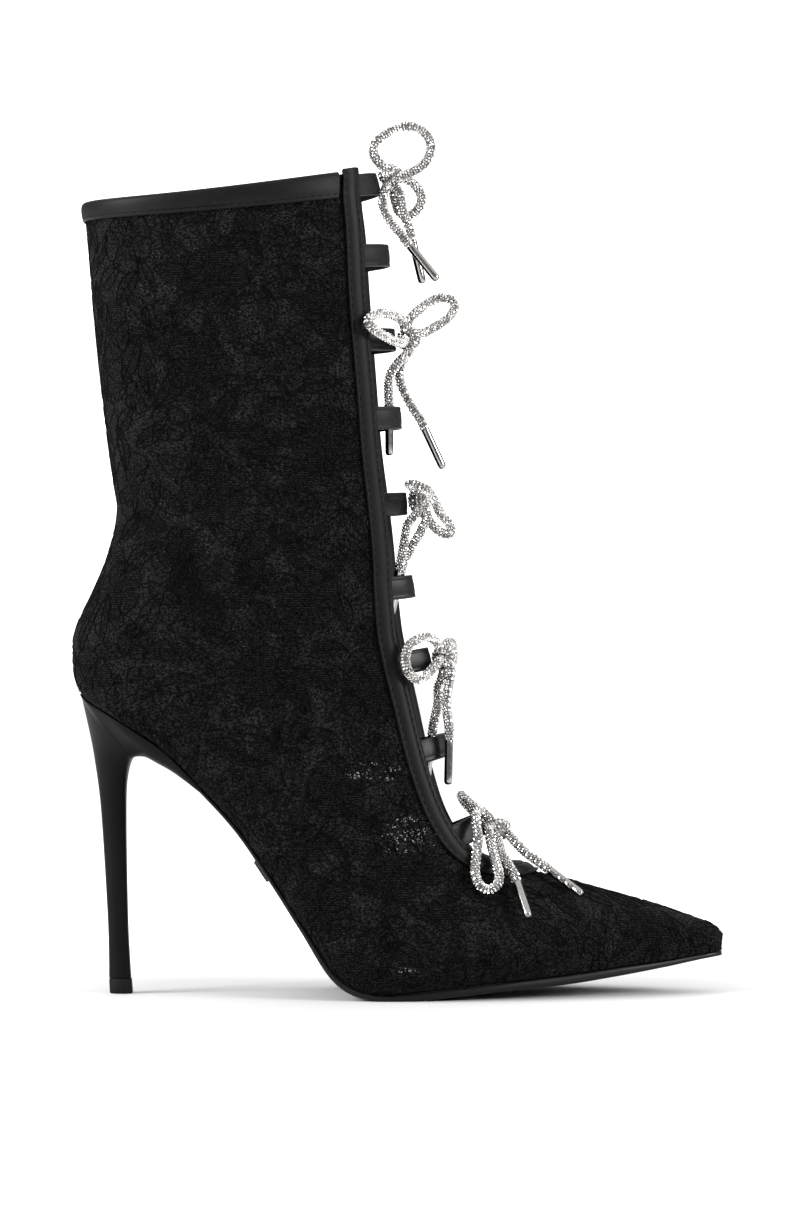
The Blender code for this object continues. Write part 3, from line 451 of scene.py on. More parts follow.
def lay_gimp(motif, flat, kind_of_line):
    """Drops a flat line of a motif onto the shell, and keeps the runs that meet it."""
    lines = gimp_lines["leaves" if motif["kind"] == "leaf" else "blooms"]
    scale = GIMP_SHARES[kind_of_line]
    closed = np.allclose(flat[0], flat[-1])
    flat = np.column_stack([flat, np.zeros(len(flat))])
    length = lengths_along(flat)[-1]
    even = spread(flat, np.linspace(0.0, length, max(int(length / GIMP_STEP), FEWEST_STEPS) + 1))
    run = []
    for x, y, _ in even[:-1] if closed else even:
        flat_point = motif["centre"] + motif["first"] * x + motif["second"] * y
        spot, normal, _, far = shell.find_nearest(Vector(flat_point))
        drop = (np.array(spot) - flat_point) @ motif["normal"]
        if far * far - drop * drop > MOST_SLIP:
            if len(run) > FEWEST_STEPS:
                lines.append((run, False, scale))
            run = []
            closed = False
            continue
        run.append((np.array(spot), np.array(normal)))
    if len(run) > FEWEST_STEPS:
        lines.append((run, closed, scale))


clothwork = np.zeros(len(points))
ribbed = np.zeros(len(points))
for motif in motifs:
    kind, size = motif["kind"], motif["size"]
    towards = np.array([chance.uniform(-1.0, 1.0) for _ in range(3)])
    if kind == "leaf":
        nearest = min(flowers, key=lambda other: np.linalg.norm(other["centre"] - motif["centre"]))
        towards = motif["centre"] - nearest["centre"]
        swing = chance.uniform(-LEAF_SWING, LEAF_SWING)
        towards = towards + np.cross(motif["normal"], towards) * swing
    motif["first"], motif["second"] = across_cloth(motif["normal"], towards)
    if kind == "dot":
        lay_gimp(motif, ring_line(size), "dot")
        continue
    seen = points - motif["centre"]
    x = seen @ motif["first"]
    y = seen @ motif["second"]
    close = np.abs(seen @ motif["normal"]) < CLOTH_REACH
    if kind == "leaf":
        bend = chance.uniform(-LEAF_BEND, LEAF_BEND) * size
        share = np.linspace(0.0, 1.0, 70)
        line, half = leaf_shape(size, bend, share)
        along = (share - 0.5) * size
        rims = [np.stack([along, line + half], 1), np.stack([along, line - half], 1)[::-1]]
        lay_gimp(motif, np.concatenate(rims), "rim")
        stalk = nearest["centre"] - motif["centre"]
        foot = np.array((stalk @ motif["first"], stalk @ motif["second"]))
        base = np.array((along[0], line[0]))
        reach = np.linalg.norm(foot - base)
        tip = foot + (base - foot) * min(STALK_STOPS * nearest["size"] / max(reach, 1e-6), 1.0)
        rib_line = np.stack([along, line], 1)[::8]
        if reach < STALK_REACH:
            rib_line = np.concatenate([[tip], rib_line])
        fine = np.array([smooth(rib_line, at) for at in np.linspace(0.0, len(rib_line) - 1.0, 40)])
        lay_gimp(motif, fine, "rib")
        for at in LEAF_VEINS:
            for sign in (-1.0, 1.0):
                ends = np.array((at, at + VEIN_RUN))
                line, half = leaf_shape(size, bend, ends)
                vein = np.stack([(ends - 0.5) * size, line + sign * half * (0.0, VEIN_REACH)], 1)
                lay_gimp(motif, vein, "vein")
        line, half = leaf_shape(size, bend, x / size + 0.5)
        inside = (np.abs(y - line) < half) & (np.abs(x) < 0.5 * size)
        if chance.random() < HALF_WORKED:
            inside &= y > line
    else:
        lobes, table = BLOOM_LOBES, BLOOM_PETAL
        if kind == "bud":
            lobes, table = chance.choice(BUD_LOBES), BUD_PETAL
        half_angle = math.pi / lobes
        for lobe in range(lobes):
            middle = 2.0 * half_angle * lobe
            long = size * chance.uniform(*PETAL_SIZES)
            lay_gimp(motif, petal_line(table, long, middle, half_angle), "rim")
            for lean in PETAL_RAYS[kind]:
                angle = middle + lean * half_angle
                ray = np.linspace(RAY_FROM, RAY_TO - RAY_SHORTER * abs(lean), 8)[:, None] * size
                lay_gimp(motif, ray * np.array((math.cos(angle), math.sin(angle))), "vein")
        lay_gimp(motif, ring_line(RING * size), "ring")
        if kind == "bloom":
            lay_gimp(motif, ring_line(EYE * size), "eye")
        apart = np.abs((np.arctan2(y, x) / half_angle + 1.0) % 2.0 - 1.0)
        inside = np.hypot(x, y) < size * (1.0 - PETAL_NOTCH * apart ** 3)
    clothwork[close & inside] = 1.0
    ribbed[close & inside] = chance.choice((0.0, 1.0))


def gimp_piece(name, lines):
    """Closed three-sided ribs along the laid lines, as one mesh."""
    corners = []
    faces = []
    for run, closed, scale in lines:
        spots = np.array([spot for spot, _ in run])
        out = np.array([normal for _, normal in run])
        tangent = np.roll(spots, -1, 0) - np.roll(spots, 1, 0) if closed else np.gradient(spots, axis=0)
        over = np.cross(out, tangent)
        over /= np.maximum(np.linalg.norm(over, axis=1), 1e-9)[:, None]
        size = np.full(len(run), scale)
        if not closed:
            size[0] = size[-1] = GIMP_POINT
            size[1] = size[-2] = GIMP_TAPER * scale
        half = (GIMP_WIDTH / 2.0 * size)[:, None] * over
        low = spots - out * GIMP_SUNK
        rings = np.stack([low - half, spots + out * (GIMP_RISE * size)[:, None], low + half], 1)
        base = len(corners)
        corners.extend(rings.reshape(-1, 3) * MM)
        count = len(run)
        for k in range(count if closed else count - 1):
            here = base + 3 * k
            there = base + 3 * ((k + 1) % count)
            for a, b in ((0, 1), (1, 2), (2, 0)):
                faces.append((here + a, there + a, there + b, here + b))
    mesh = bpy.data.meshes.new(name)
    mesh.from_pydata(corners, [], faces)
    piece = bpy.data.objects.new(name, mesh)
    bpy.context.scene.collection.objects.link(piece)
    return close_up(piece, 80.0)


# Sheer spots of bare net low on the quarters, where lighter painted glints stand for light showing through:
# middle and reach, seen from the side, and how soft their edges are.
SHEER_SPOTS = ((-8.5, 78.5, 13.0, 4.5), (2.5, 57.0, 13.0, 8.5), (3.0, 11.0, 4.0, 2.0))
SHEER_EDGE = 1.6
sheer = np.zeros(len(points))
for x, z, long, high in SHEER_SPOTS:
    inside = ((points[:, 0] - x) / long) ** 2 + ((points[:, 2] - z) / high) ** 2
    sheer = np.maximum(sheer, np.clip(SHEER_EDGE * (1.0 - inside), 0.0, 1.0))
clothwork *= 1.0 - sheer
marks = {"clothwork": clothwork, "ribbed": ribbed, "sheer": sheer, "gathered_and_crease_shade": gathered_and_crease_shade}
for name, values in marks.items():
    layer = upper.data.attributes.new(name, "FLOAT", "POINT")
    layer.data.foreach_set("value", values.astype(np.float32))


def srgb(code):
    """A hex sRGB colour as the linear colour that the shaders take."""
    parts = [int(code[i:i + 2], 16) / 255.0 for i in (1, 3, 5)]
    return (*(p / 12.92 if p <= 0.04045 else ((p + 0.055) / 1.055) ** 2.4 for p in parts), 1.0)


def set_inputs(node, values):
    """Sets a node's inputs, and links those that take another node's output."""
    for socket, value in values.items():
        if isinstance(value, bpy.types.NodeSocket):
            node.id_data.links.new(value, node.inputs[socket])
        else:
            node.inputs[socket].default_value = value


def add_node(material, kind, output, values=None, **settings):
    """Adds a shader node with its options and inputs, and gives the output asked for."""
    node = material.node_tree.nodes.new("ShaderNode" + kind)
    for name, value in settings.items():
        setattr(node, name, value)
    set_inputs(node, values or {})
    return node.outputs[output]


def new_material(name):
    material = bpy.data.materials.new(name)
    material.use_nodes = True
    return material, material.node_tree.nodes["Principled BSDF"]


def dress(piece, material, slot, *nodes):
    """Gives a piece its finish and its place on the boot, and lets it stand for CAD nodes."""
    if material.name not in piece.data.materials:
        piece.data.materials.append(material)
    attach(piece, "root")
    if nodes:
        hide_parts(*nodes)
    return piece


# Cotton and viscose lace on polyester net: a dull black with a fine grain, drawn 0.6 mm across so that it
# shows. Closed petals and leaves are darker, and half of them are ribbed. Bare net has sparse bright painted
# highlights in rows, and lighter painted glints in the sheer spots stand for light showing through. Cloth
# bunched in a crease lies closer, and it is painted darker there, partly as painted shade in the trough.
GRAIN = 0.6
RIB_PITCH = 0.8
# Pitch of the painted glints on the net, and the width of their rows.
PAINTED_GLINT_PITCH = 0.62
PAINTED_GLINT_ROW = 1.8
WORN_PATCH = 16.0
# The length at which a wave texture of scale 1 repeats.
WAVE = 0.314
lace, shader = new_material("black_lace_on_net")
place_on = add_node(lace, "TexCoord", "Object")
drawn_out = add_node(lace, "Mapping", "Vector", {"Vector": place_on, "Scale": (0.7, 0.7, 1.0)})
grain = add_node(lace, "TexNoise", "Fac", {
    "Vector": drawn_out, "Scale": 1.0 / (GRAIN * MM), "Detail": 2.0, "Roughness": 0.6,
})
net = add_node(lace, "MapRange", "Result", {"Value": grain, "From Min": 0.42, "From Max": 0.6})
wale = add_node(lace, "TexWave", "Fac", {
    "Vector": place_on, "Scale": WAVE / (RIB_PITCH * MM),
    "Distortion": 4.0, "Detail": 2.0, "Detail Scale": 1.0,
}, bands_direction="Z")
broken = add_node(lace, "Math", 0, {0: net, 1: wale}, operation="MULTIPLY")
ribs = add_node(lace, "Math", 0, {0: broken, 1: 1.7}, operation="MULTIPLY")
has_ribs = add_node(lace, "Attribute", "Fac", attribute_name="ribbed")
worked = add_node(lace, "Mix", 0, {0: has_ribs, 2: net, 3: ribs})
close_set = add_node(lace, "Math", 0, {0: worked, 1: 0.86}, operation="MULTIPLY")
closed_work = add_node(lace, "Attribute", "Fac", attribute_name="clothwork")
raised = add_node(lace, "Mix", 0, {0: closed_work, 2: net, 3: close_set})
cloud = add_node(lace, "TexNoise", "Fac", {
    "Vector": place_on, "Scale": 1.0 / (WORN_PATCH * MM), "Detail": 2.0,
})
worn = add_node(lace, "MapRange", "Result", {
    "Value": cloud, "From Min": 0.35, "From Max": 0.65, "To Min": 0.85, "To Max": 1.1,
})
# Painted shade in crease troughs: the colour falls to 0.3 of itself where the crease is deepest.
folded = add_node(lace, "Attribute", "Fac", attribute_name="gathered_and_crease_shade")
flat = add_node(lace, "MapRange", "Result", {"Value": folded, "To Min": 1.0, "To Max": 0.3})
tone_and_crease_shade = add_node(lace, "Math", 0, {0: worn, 1: flat}, operation="MULTIPLY")
shade = add_node(lace, "Math", 0, {0: raised, 1: tone_and_crease_shade}, operation="MULTIPLY")
black = add_node(lace, "Mix", 2, {0: shade, 6: srgb("#010101"), 7: srgb("#1d1d1e")}, data_type="RGBA")
bare = add_node(lace, "Attribute", "Fac", attribute_name="sheer")
# Painted highlights: sparse bright glints on knots of the bare net, in rows, none on the closed work.
from_knot = add_node(lace, "TexVoronoi", "Distance", {"Vector": drawn_out, "Scale": 1.0 / (PAINTED_GLINT_PITCH * MM)})
painted_glint_mask = add_node(lace, "MapRange", "Result", {
    "Value": from_knot, "From Min": 0.14, "From Max": 0.4, "To Min": 1.0, "To Max": 0.0,
})
rare = add_node(lace, "MapRange", "Result", {"Value": bare, "To Min": 0.74, "To Max": 0.4})
any_knot = from_knot.node.outputs["Color"]
picked = add_node(lace, "Math", 0, {0: any_knot, 1: rare}, operation="GREATER_THAN")
open_net = add_node(lace, "Math", 0, {0: 1.0, 1: closed_work}, operation="SUBTRACT")
streaks = add_node(lace, "Mapping", "Vector", {"Vector": place_on, "Scale": (0.3, 0.3, 1.0)})
streaky = add_node(lace, "TexNoise", "Fac", {
    "Vector": streaks, "Scale": 1.0 / (PAINTED_GLINT_ROW * MM), "Detail": 1.0,
})
in_rows = add_node(lace, "MapRange", "Result", {"Value": streaky, "From Min": 0.44, "From Max": 0.58})
for kept in (picked, open_net, in_rows):
    painted_glint_mask = add_node(lace, "Math", 0, {0: painted_glint_mask, 1: kept}, operation="MULTIPLY")
# Colour of the painted glints: grey on bare net, lighter in the sheer spots as painted light showing through.
painted_glint_colour = add_node(lace, "Mix", 2, {0: bare, 6: srgb("#3c3c3e"), 7: srgb("#a6a6a8")}, data_type="RGBA")
set_inputs(shader, {
    "Base Color": add_node(lace, "Mix", 2, {0: painted_glint_mask, 6: black, 7: painted_glint_colour}, data_type="RGBA"),
    "Roughness": 0.85, "Specular IOR Level": 0.04, "Sheen Weight": 0.01, "Sheen Roughness": 0.45,
    "Normal": add_node(lace, "Bump", "Normal", {"Strength": 0.8, "Distance": 0.3 * MM, "Height": raised}),
})

# Viscose gimp cord: closer and smoother than the net, so the outlines read as a deeper black. Its twist
# is drawn 0.8 mm long so that it shows.
gimp_cord, shader = new_material("viscose_gimp_cord")
place_on = add_node(gimp_cord, "TexCoord", "Object")
twist = add_node(gimp_cord, "TexNoise", "Fac", {"Vector": place_on, "Scale": 1.0 / (0.8 * MM), "Detail": 2.0})
colour = add_node(gimp_cord, "Mix", 2, {0: twist, 6: srgb("#020202"), 7: srgb("#0b0b0b")}, data_type="RGBA")
set_inputs(shader, {
    "Base Color": colour, "Roughness": 0.7, "Specular IOR Level": 0.05,
    "Normal": add_node(gimp_cord, "Bump", "Normal", {"Strength": 0.5, "Distance": 0.2 * MM, "Height": twist}),
})

upper.data.materials.clear()
upper.data.materials.append(lace)
wall = upper.modifiers.new("wall", "SOLIDIFY")
wall.thickness = LACE_WALL * MM
wall.offset = -1.0
wall.use_even_offset = True
pick(upper)
bpy.ops.object.modifier_apply(modifier=wall.name)
dress(upper, lace, "black_lace", "upper")
for name, lines in gimp_lines.items():
    dress(gimp_piece("lace_gimp_" + name, lines), gimp_cord, "black_lace")

# Collar binding: a strip of smooth coated cloth folded over the collar from one front edge round the
# back to the other. It is glued down and sewn through with one row of stitches above its lower edge.

# The last's row at its lower edge, how far its ends lie from the opening, and its stations on each side.
COLLAR_ROW = 0.6
COLLAR_FROM_EDGE = 9.0
COLLAR_STATIONS = 150
# Each place on the fold: share of the band's depth, more millimetres down, and distance out.
COLLAR_FOLD = (
    (1.0, -0.1, 0.30), (1.0, 0.05, 0.60), (1.0, -0.1, 0.95), (1.0, -0.5, 1.10), (1.0, -1.5, 1.02),
    (0.75, 0.0, 1.22), (0.5, 0.0, 1.30), (0.25, 0.0, 1.24), (0.0, 0.4, 1.08), (0.0, -0.4, 0.80),
    (0.0, -0.95, 0.15), (0.0, -1.1, -0.8), (0.0, -0.9, -1.8), (0.0, -0.2, -2.5), (0.0, 0.8, -2.65),
    (0.5, 0.0, -2.62), (0.5, 0.2, -2.3), (0.5, 0.0, -1.95), (0.0, 0.4, -1.85), (0.0, -0.25, -1.6),
    (0.0, -0.3, -0.6), (0.0, -0.25, 0.15), (0.0, 0.3, 0.30),
)
# The row of stitches, up from the lower edge and out from the collar. Then a stitch's sizes, the pitch,
# and the length of seam either way that a stitch is turned along.
STITCHES_UP = 1.4
STITCHES_OUT = 1.06
STITCH = (2.0, 0.42, 0.36)
STITCH_PITCH = 2.9
STITCH_AIM = 0.5


def collar_line(row):
    parts = []
    for side in ("outer", "inner"):
        line = half_line(row, side)
        parts.append(spread(line, np.linspace(COLLAR_FROM_EDGE, lengths_along(line)[-1], COLLAR_STATIONS)))
    return np.concatenate([parts[0], parts[1][::-1][1:]])


rim = collar_line(0.0)
low = collar_line(COLLAR_ROW)
deep = np.linalg.norm(rim - low, axis=1)[:, None]
rise = (rim - low) / deep
outward = np.cross(np.gradient(rim, axis=0), rise)
outward /= np.linalg.norm(outward, axis=1)[:, None]
if outward[0] @ (rim[0] - rim.mean(axis=0)) < 0.0:
    outward = -outward
fold = [rim - rise * (deep * share + more) + outward * out for share, more, out in COLLAR_FOLD]
collar = closed_skin("collar_strip", np.stack(fold, axis=1), 50.0)


def scatter(name, pattern, spots):
    """Copies of one small modelled pattern as a single mesh, at placing matrices in metres."""
    base = mesh_points(pattern.data, "co")
    faces = [tuple(face.vertices) for face in pattern.data.polygons]
    spots = np.array(spots)
    copies = np.einsum("kij,nj->kni", spots[:, :3, :3], base) + spots[:, None, :3, 3]
    every = [tuple(v + k * len(base) for v in face) for k in range(len(spots)) for face in faces]
    mesh = bpy.data.meshes.new(name)
    mesh.from_pydata(copies.reshape(-1, 3), [], every)
    piece = bpy.data.objects.new(name, mesh)
    bpy.context.scene.collection.objects.link(piece)
    return piece


def placing(spot, along, up):
    """A placing matrix with its X along and its Z up, at a spot in millimetres."""
    along = along / np.linalg.norm(along)
    over = np.cross(up, along)
    over /= np.linalg.norm(over)
    made = np.eye(4)
    made[:3, :3] = np.stack([along, over, np.cross(along, over)], axis=1)
    made[:3, 3] = (spot - ORIGIN) * MM
    return made


pick()
bpy.ops.mesh.primitive_uv_sphere_add(segments=8, ring_count=6, radius=0.5)
one_stitch = bpy.context.object
one_stitch.name = "one_stitch"
one_stitch.data.transform(Matrix.Diagonal((*(size * MM for size in STITCH), 1.0)))


def spread_vectors(spots, vectors, at):
    lengths = lengths_along(spots)
    return np.array([np.interp(at, lengths, vectors[:, axis]) for axis in range(3)])


def stitch_row(name, spots, ups):
    """A row of sunken stitches along a line of points, with the surface's direction at each."""
    length = lengths_along(spots)[-1]
    places = []
    for at in np.arange(STITCH_PITCH / 2.0, length, STITCH_PITCH):
        nearby = [at, max(at - STITCH_AIM, 0.0), min(at + STITCH_AIM, length)]
        here, behind, ahead = spread(spots, nearby)
        places.append(placing(here, ahead - behind, spread_vectors(spots, ups, at)))
    piece = scatter(name, one_stitch, places)
    pick(piece)
    bpy.ops.object.shade_smooth()
    return piece


seam = rim - rise * (deep - STITCHES_UP) + outward * STITCHES_OUT
collar_stitches = stitch_row("collar_stitches", seam, outward)

# Coated cloth, smooth with a fine pressed grain: it shines softly along its folds.
coated, shader = new_material("coated_binding_cloth")
place_on = add_node(coated, "TexCoord", "Object")
press = add_node(coated, "TexVoronoi", "Distance", {
    "Vector": place_on, "Scale": 1.0 / (0.55 * MM), "Randomness": 0.9,
})
patch = add_node(coated, "TexNoise", "Fac", {"Vector": place_on, "Scale": 1.0 / (7.0 * MM), "Detail": 3.0})
colour = add_node(coated, "Mix", 2, {0: patch, 6: srgb("#070708"), 7: srgb("#0f0f11")}, data_type="RGBA")
set_inputs(shader, {
    "Base Color": colour, "Specular IOR Level": 0.1,
    "Roughness": add_node(coated, "MapRange", "Result", {"Value": patch, "To Min": 0.42, "To Max": 0.54}),
    "Normal": add_node(coated, "Bump", "Normal", {"Strength": 0.18, "Distance": 0.12 * MM, "Height": press}),
})

# Polyester sewing thread, twisted, drawn so tight into the cloth that it lies in shade.
thread_black, shader = new_material("polyester_thread")
place_on = add_node(thread_black, "TexCoord", "Object")
ply = add_node(thread_black, "TexWave", "Fac", {
    "Vector": place_on, "Scale": WAVE / (0.5 * MM), "Distortion": 1.0,
}, bands_direction="DIAGONAL")
colour = add_node(thread_black, "Mix", 2, {0: ply, 6: srgb("#020202"), 7: srgb("#0a0a0b")}, data_type="RGBA")
set_inputs(shader, {"Base Color": colour, "Roughness": 0.6, "Specular IOR Level": 0.06})
dress(collar, coated, "black_binding", "collar_binding")
dress(collar_stitches, thread_black, "black_binding")

# Throat binding: a wider strip of the same cloth down one edge of the open front, round its U and up
# the other. Its edge on the lace is rolled into a bead, and stitches run inside both of its edges.

# The step between its stations, and how far it stands above the collar.
THROAT_STEP = 2.2
THROAT_ABOVE = 1.7
# Its upper corners: their radius, the strip's reach past the edge, and the length that they fade over.
THROAT_CORNER = 1.9
THROAT_PAST = 1.15
CORNER_FADE = 7.0
# A margin is laid off over the last in a few steps, each measured over a short length.
MARGIN_STEPS = 4
MARGIN_AIM = 0.5


def front_point(along, across):
    """The last's surface near its front, by the length down the front line and the distance across."""
    row = float(np.interp(along, FRONT_LENGTHS, FRONT_STEPS))
    sizes = section(row)
    point = place(sizes, front_share(sizes, across), across)
    if along < 0.0:
        below = section(0.1)
        slope = point - place(below, front_share(below, across), across)
        point = point - slope / np.linalg.norm(slope) * along
    return point


def front_normal(along, across):
    step = 0.4
    down = front_point(along + step, across) - front_point(along - step, across)
    over = front_point(along, across + step) - front_point(along, across - step)
    normal = np.cross(over, down)
    normal /= np.linalg.norm(normal)
    return -normal if normal[0] < 0.0 else normal


def throat_place(station, side, margin):
    """Length down the front and distance across of a place beside the opening, margin into the lace."""
    along, turn = station
    sign = -1.0 if side == "outer" else 1.0
    inward = max(THROAT_CORNER - THROAT_PAST - margin, 0.0)
    drop = THROAT_CORNER - math.sqrt(max(THROAT_CORNER ** 2 - inward ** 2, 0.0))
    along += drop * max(1.0 - (along + THROAT_ABOVE) / CORNER_FADE, 0.0)
    across = opening_half(along, side)
    for _ in range(MARGIN_STEPS):
        beside = front_point(along, sign * (across + MARGIN_AIM)) - front_point(along, sign * across)
        across += margin / MARGIN_STEPS * MARGIN_AIM / np.linalg.norm(beside)
    along += (U_LENGTH + margin) * math.sin(turn) ** (2.0 / U_ROUND)
    return along, sign * across * max(math.cos(turn), 0.0) ** (2.0 / U_ROUND)


# The folded strip: distance into the lace from the opening's edge, and distance out from the last.
THROAT_FOLD = (
    (6.75, 0.58), (7.0, 0.8), (7.05, 1.1), (6.85, 1.34), (6.5, 1.42), (6.18, 1.32), (5.98, 1.02),
    (5.72, 0.98), (5.3, 1.2), (4.5, 1.5), (3.5, 1.74), (2.6, 1.82), (1.95, 1.7), (1.5, 1.42), (1.2, 1.16),
    (0.9, 1.18), (0.3, 1.26), (-0.4, 1.05), (-0.92, 0.4), (-1.14, -0.6), (-1.1, -1.8), (-0.75, -2.7),
    (0.0, -3.12), (1.5, -3.18), (3.85, -3.1), (3.95, -2.75), (3.8, -2.45), (0.6, -2.4), (-0.2, -2.2),
    (-0.3, -1.0), (-0.25, 0.25), (0.3, 0.58),
)
# The two rows of stitches lie on the fold, each at one place of the same kind.
THROAT_STITCHES = {"throat_stitches_lace": (5.82, 1.03), "throat_stitches_edge": (1.1, 1.18)}
reach = OPENING_LENGTH - U_LENGTH
stations = [(along, 0.0) for along in np.linspace(-THROAT_ABOVE, reach - 1.0, int(reach / THROAT_STEP))]
stations += [(reach, turn) for turn in np.radians(np.arange(0.0, 91.0, 4.5))]


def throat_rings(fold):
    rings = []
    ups = []
    for side, order in (("outer", stations), ("inner", stations[-2::-1])):
        for station in order:
            ring = []
            for margin, out in fold:
                along, across = throat_place(station, side, margin)
                up = front_normal(along, across)
                ring.append(front_point(along, across) + up * out)
            rings.append(ring)
            ups.append(up)
    return np.array(rings), np.array(ups)


rings, ups = throat_rings(THROAT_FOLD)
dress(closed_skin("throat_strip", rings, 50.0), coated, "black_binding", "throat_binding")
for name, spot in THROAT_STITCHES.items():
    line, ups = throat_rings((spot,))
    dress(stitch_row(name, line[:, 0], ups), thread_black, "black_binding")

# Bars: nine short straps of black satin ribbon over a soft core, sewn inside both edges of the open
# front. Each bows out to the front line between its hidden ends, with a folded edge above and below.
STRAP_HEIGHTS = (283.2, 258.0, 228.6, 201.3, 171.3, 142.5, 117.3, 87.4, 59.4)
# How far a bar reaches past the edges, how deep it lies there, and how far inside them it is that deep.
STRAP_TUCK = 3.4
STRAP_LEVEL = -3.65
STRAP_SUNK = 2.1
STRAP_STATIONS = 45
# A bar's section: distance down from its middle, and distance out from its face.
STRAP_FOLD = (
    (-4.0, -0.55), (-3.93, -0.22), (-3.6, 0.02), (-3.1, 0.04), (-2.7, -0.06), (-2.2, 0.03), (-1.0, 0.14),
    (1.0, 0.14), (2.2, 0.03), (2.7, -0.06), (3.1, 0.04), (3.6, 0.02), (3.93, -0.22), (4.0, -0.55),
    (3.9, -0.9), (3.5, -1.0), (0.0, -1.0), (-3.5, -1.0), (-3.9, -0.9),
)


def front_length(height):
    return float(np.interp(-height, -FRONT_LINE[:, 1], FRONT_LENGTHS))


# Satin ribbon: the weft floats along the bar make it shine across its bend. Ribs are drawn 0.6 mm apart.
satin, shader = new_material("satin_ribbon")
woven = add_node(satin, "UVMap", "UV")
rib = add_node(satin, "TexWave", "Fac", {
    "Vector": woven, "Scale": WAVE / (0.6 * MM), "Distortion": 0.6,
}, bands_direction="Y")
place_on = add_node(satin, "TexCoord", "Object")
cloud = add_node(satin, "TexNoise", "Fac", {"Vector": place_on, "Scale": 1.0 / (5.0 * MM), "Detail": 2.0})
colour = add_node(satin, "Mix", 2, {0: cloud, 6: srgb("#0c0c0d"), 7: srgb("#171719")}, data_type="RGBA")
set_inputs(shader, {
    "Base Color": colour, "Roughness": 0.36, "Anisotropic": 0.4, "Specular IOR Level": 0.17,
    "Sheen Weight": 0.01, "Sheen Roughness": 0.3,
    "Normal": add_node(satin, "Bump", "Normal", {"Strength": 0.1, "Distance": 0.1 * MM, "Height": rib}),
})
for number, height in enumerate(STRAP_HEIGHTS, 1):
    middle = front_length(height)
    outer = opening_half(middle, "outer")
    inner = opening_half(middle, "inner")
    rings = []
    for across in np.linspace(-outer - STRAP_TUCK, inner + STRAP_TUCK, STRAP_STATIONS):
        share = min(abs(across) / ((outer if across < 0.0 else inner) - STRAP_SUNK), 1.0)
        face = STRAP_LEVEL * share * share * (3.0 - 2.0 * share)
        rings.append([
            front_point(middle + down, across) + front_normal(middle + down, across) * (face + out)
            for down, out in STRAP_FOLD
        ])
    dress(closed_skin("satin_bar_%d" % number, rings, 45.0), satin, "black_satin", "strap_%d" % number)

# Insole: a fibre board under a thin sock of smooth lining leather, closing the upper's open bottom.
# It is cut to the shape of the last's bottom, and the upper's lower edge is glued under it.

# Its thickness, how far inside the last's edge and back end it lies, and how far past that its mesh starts.
# GAP is left between pieces that are glued together.
INSOLE_THICK = 1.9
INSOLE_MARGIN = 2.4
INSOLE_BACK = 3.2
INSOLE_START = 0.05
INSOLE_ROWS = 110
GAP = 0.3
# In rows: how far either way the bottom's direction is read, and how far past the seat's end it is held.
ROW_AIM = 0.2
SEAT_STEADY = 0.8


def bottom_frame(row):
    """A point of the bottom's middle line, the direction straight down from it, and the section there."""
    steady = max(row, SEAT_ROW + SEAT_STEADY)
    ahead = smooth(LAST, min(steady + ROW_AIM, TOE_ROW))[:2]
    behind = smooth(LAST, steady - ROW_AIM)[:2]
    run = (ahead - behind) / np.linalg.norm(ahead - behind)
    sizes = section(row)
    middle = np.array((sizes["back_x"], sizes["bend"], sizes["back_z"]))
    return middle, np.array((run[1], 0.0, -run[0])), sizes


# The board's section: share of its half-width, and share of its thickness up from its underside.
INSOLE_EDGE = ((1.0, 0.0), (1.0, 0.6), (0.97, 0.9), (0.9, 1.0), (0.5, 1.0), (0.0, 1.0))
rings = []
for row in np.linspace(bottom_row(INSOLE_BACK + INSOLE_START), TOE_ROW - 1.0, INSOLE_ROWS):
    middle, down, sizes = bottom_frame(row)
    back = round_end(bottom_length(SEAT_ROW, row) - INSOLE_BACK, SEAT_REACH - INSOLE_BACK)
    ring = []
    for sign, side, edge in ((1.0, "inner", INSOLE_EDGE[:-1]), (-1.0, "outer", INSOLE_EDGE[::-1])):
        half = (sizes[side] - sizes["tuck"] - INSOLE_MARGIN) * back
        for wide, up in edge:
            ring.append(middle - down * (GAP + INSOLE_THICK * up) + np.array((0.0, sign * half * wide, 0.0)))
    rings.append(ring)
insole = closed_skin("insole_sock", rings, 40.0)

# Lining leather with a fine even grain, worn smoother in soft patches.
sock, shader = new_material("lining_leather")
place_on = add_node(sock, "TexCoord", "Object")
pore = add_node(sock, "TexVoronoi", "Distance", {"Vector": place_on, "Scale": 1.0 / (0.8 * MM)})
patch = add_node(sock, "TexNoise", "Fac", {"Vector": place_on, "Scale": 1.0 / (18.0 * MM), "Detail": 4.0})
colour = add_node(sock, "Mix", 2, {0: patch, 6: srgb("#1a1918"), 7: srgb("#2b2a28")}, data_type="RGBA")
set_inputs(shader, {
    "Base Color": colour, "Specular IOR Level": 0.4,
    "Roughness": add_node(sock, "MapRange", "Result", {"Value": patch, "To Min": 0.5, "To Max": 0.75}),
    "Normal": add_node(sock, "Bump", "Normal", {"Strength": 0.25, "Distance": 0.15 * MM, "Height": pore}),
})
dress(insole, sock, "insole_lining", "insole")

# Outsole: a thin sole of black leather board from the heel's breast to the toe, glued under the upper.
# Its edge is trimmed, inked and waxed to a gloss, and its underside is flat on the floor at the ball.

# The last's row at the breast, the first row that a thickness is given for, the thickness at each row from
# there to the toe, and how far the sole stands out past the last's bottom edge.
BREAST_ROW = 12.95
SOLE_FIRST = 12
SOLE_THICK = np.array((1.3, 1.3, 1.4, 1.5, 1.8, 2.4, 2.6, 3.2, 3.1, 3.3, 2.8, 2.0, 1.5, 1.3))
SOLE_MARGIN = 0.7
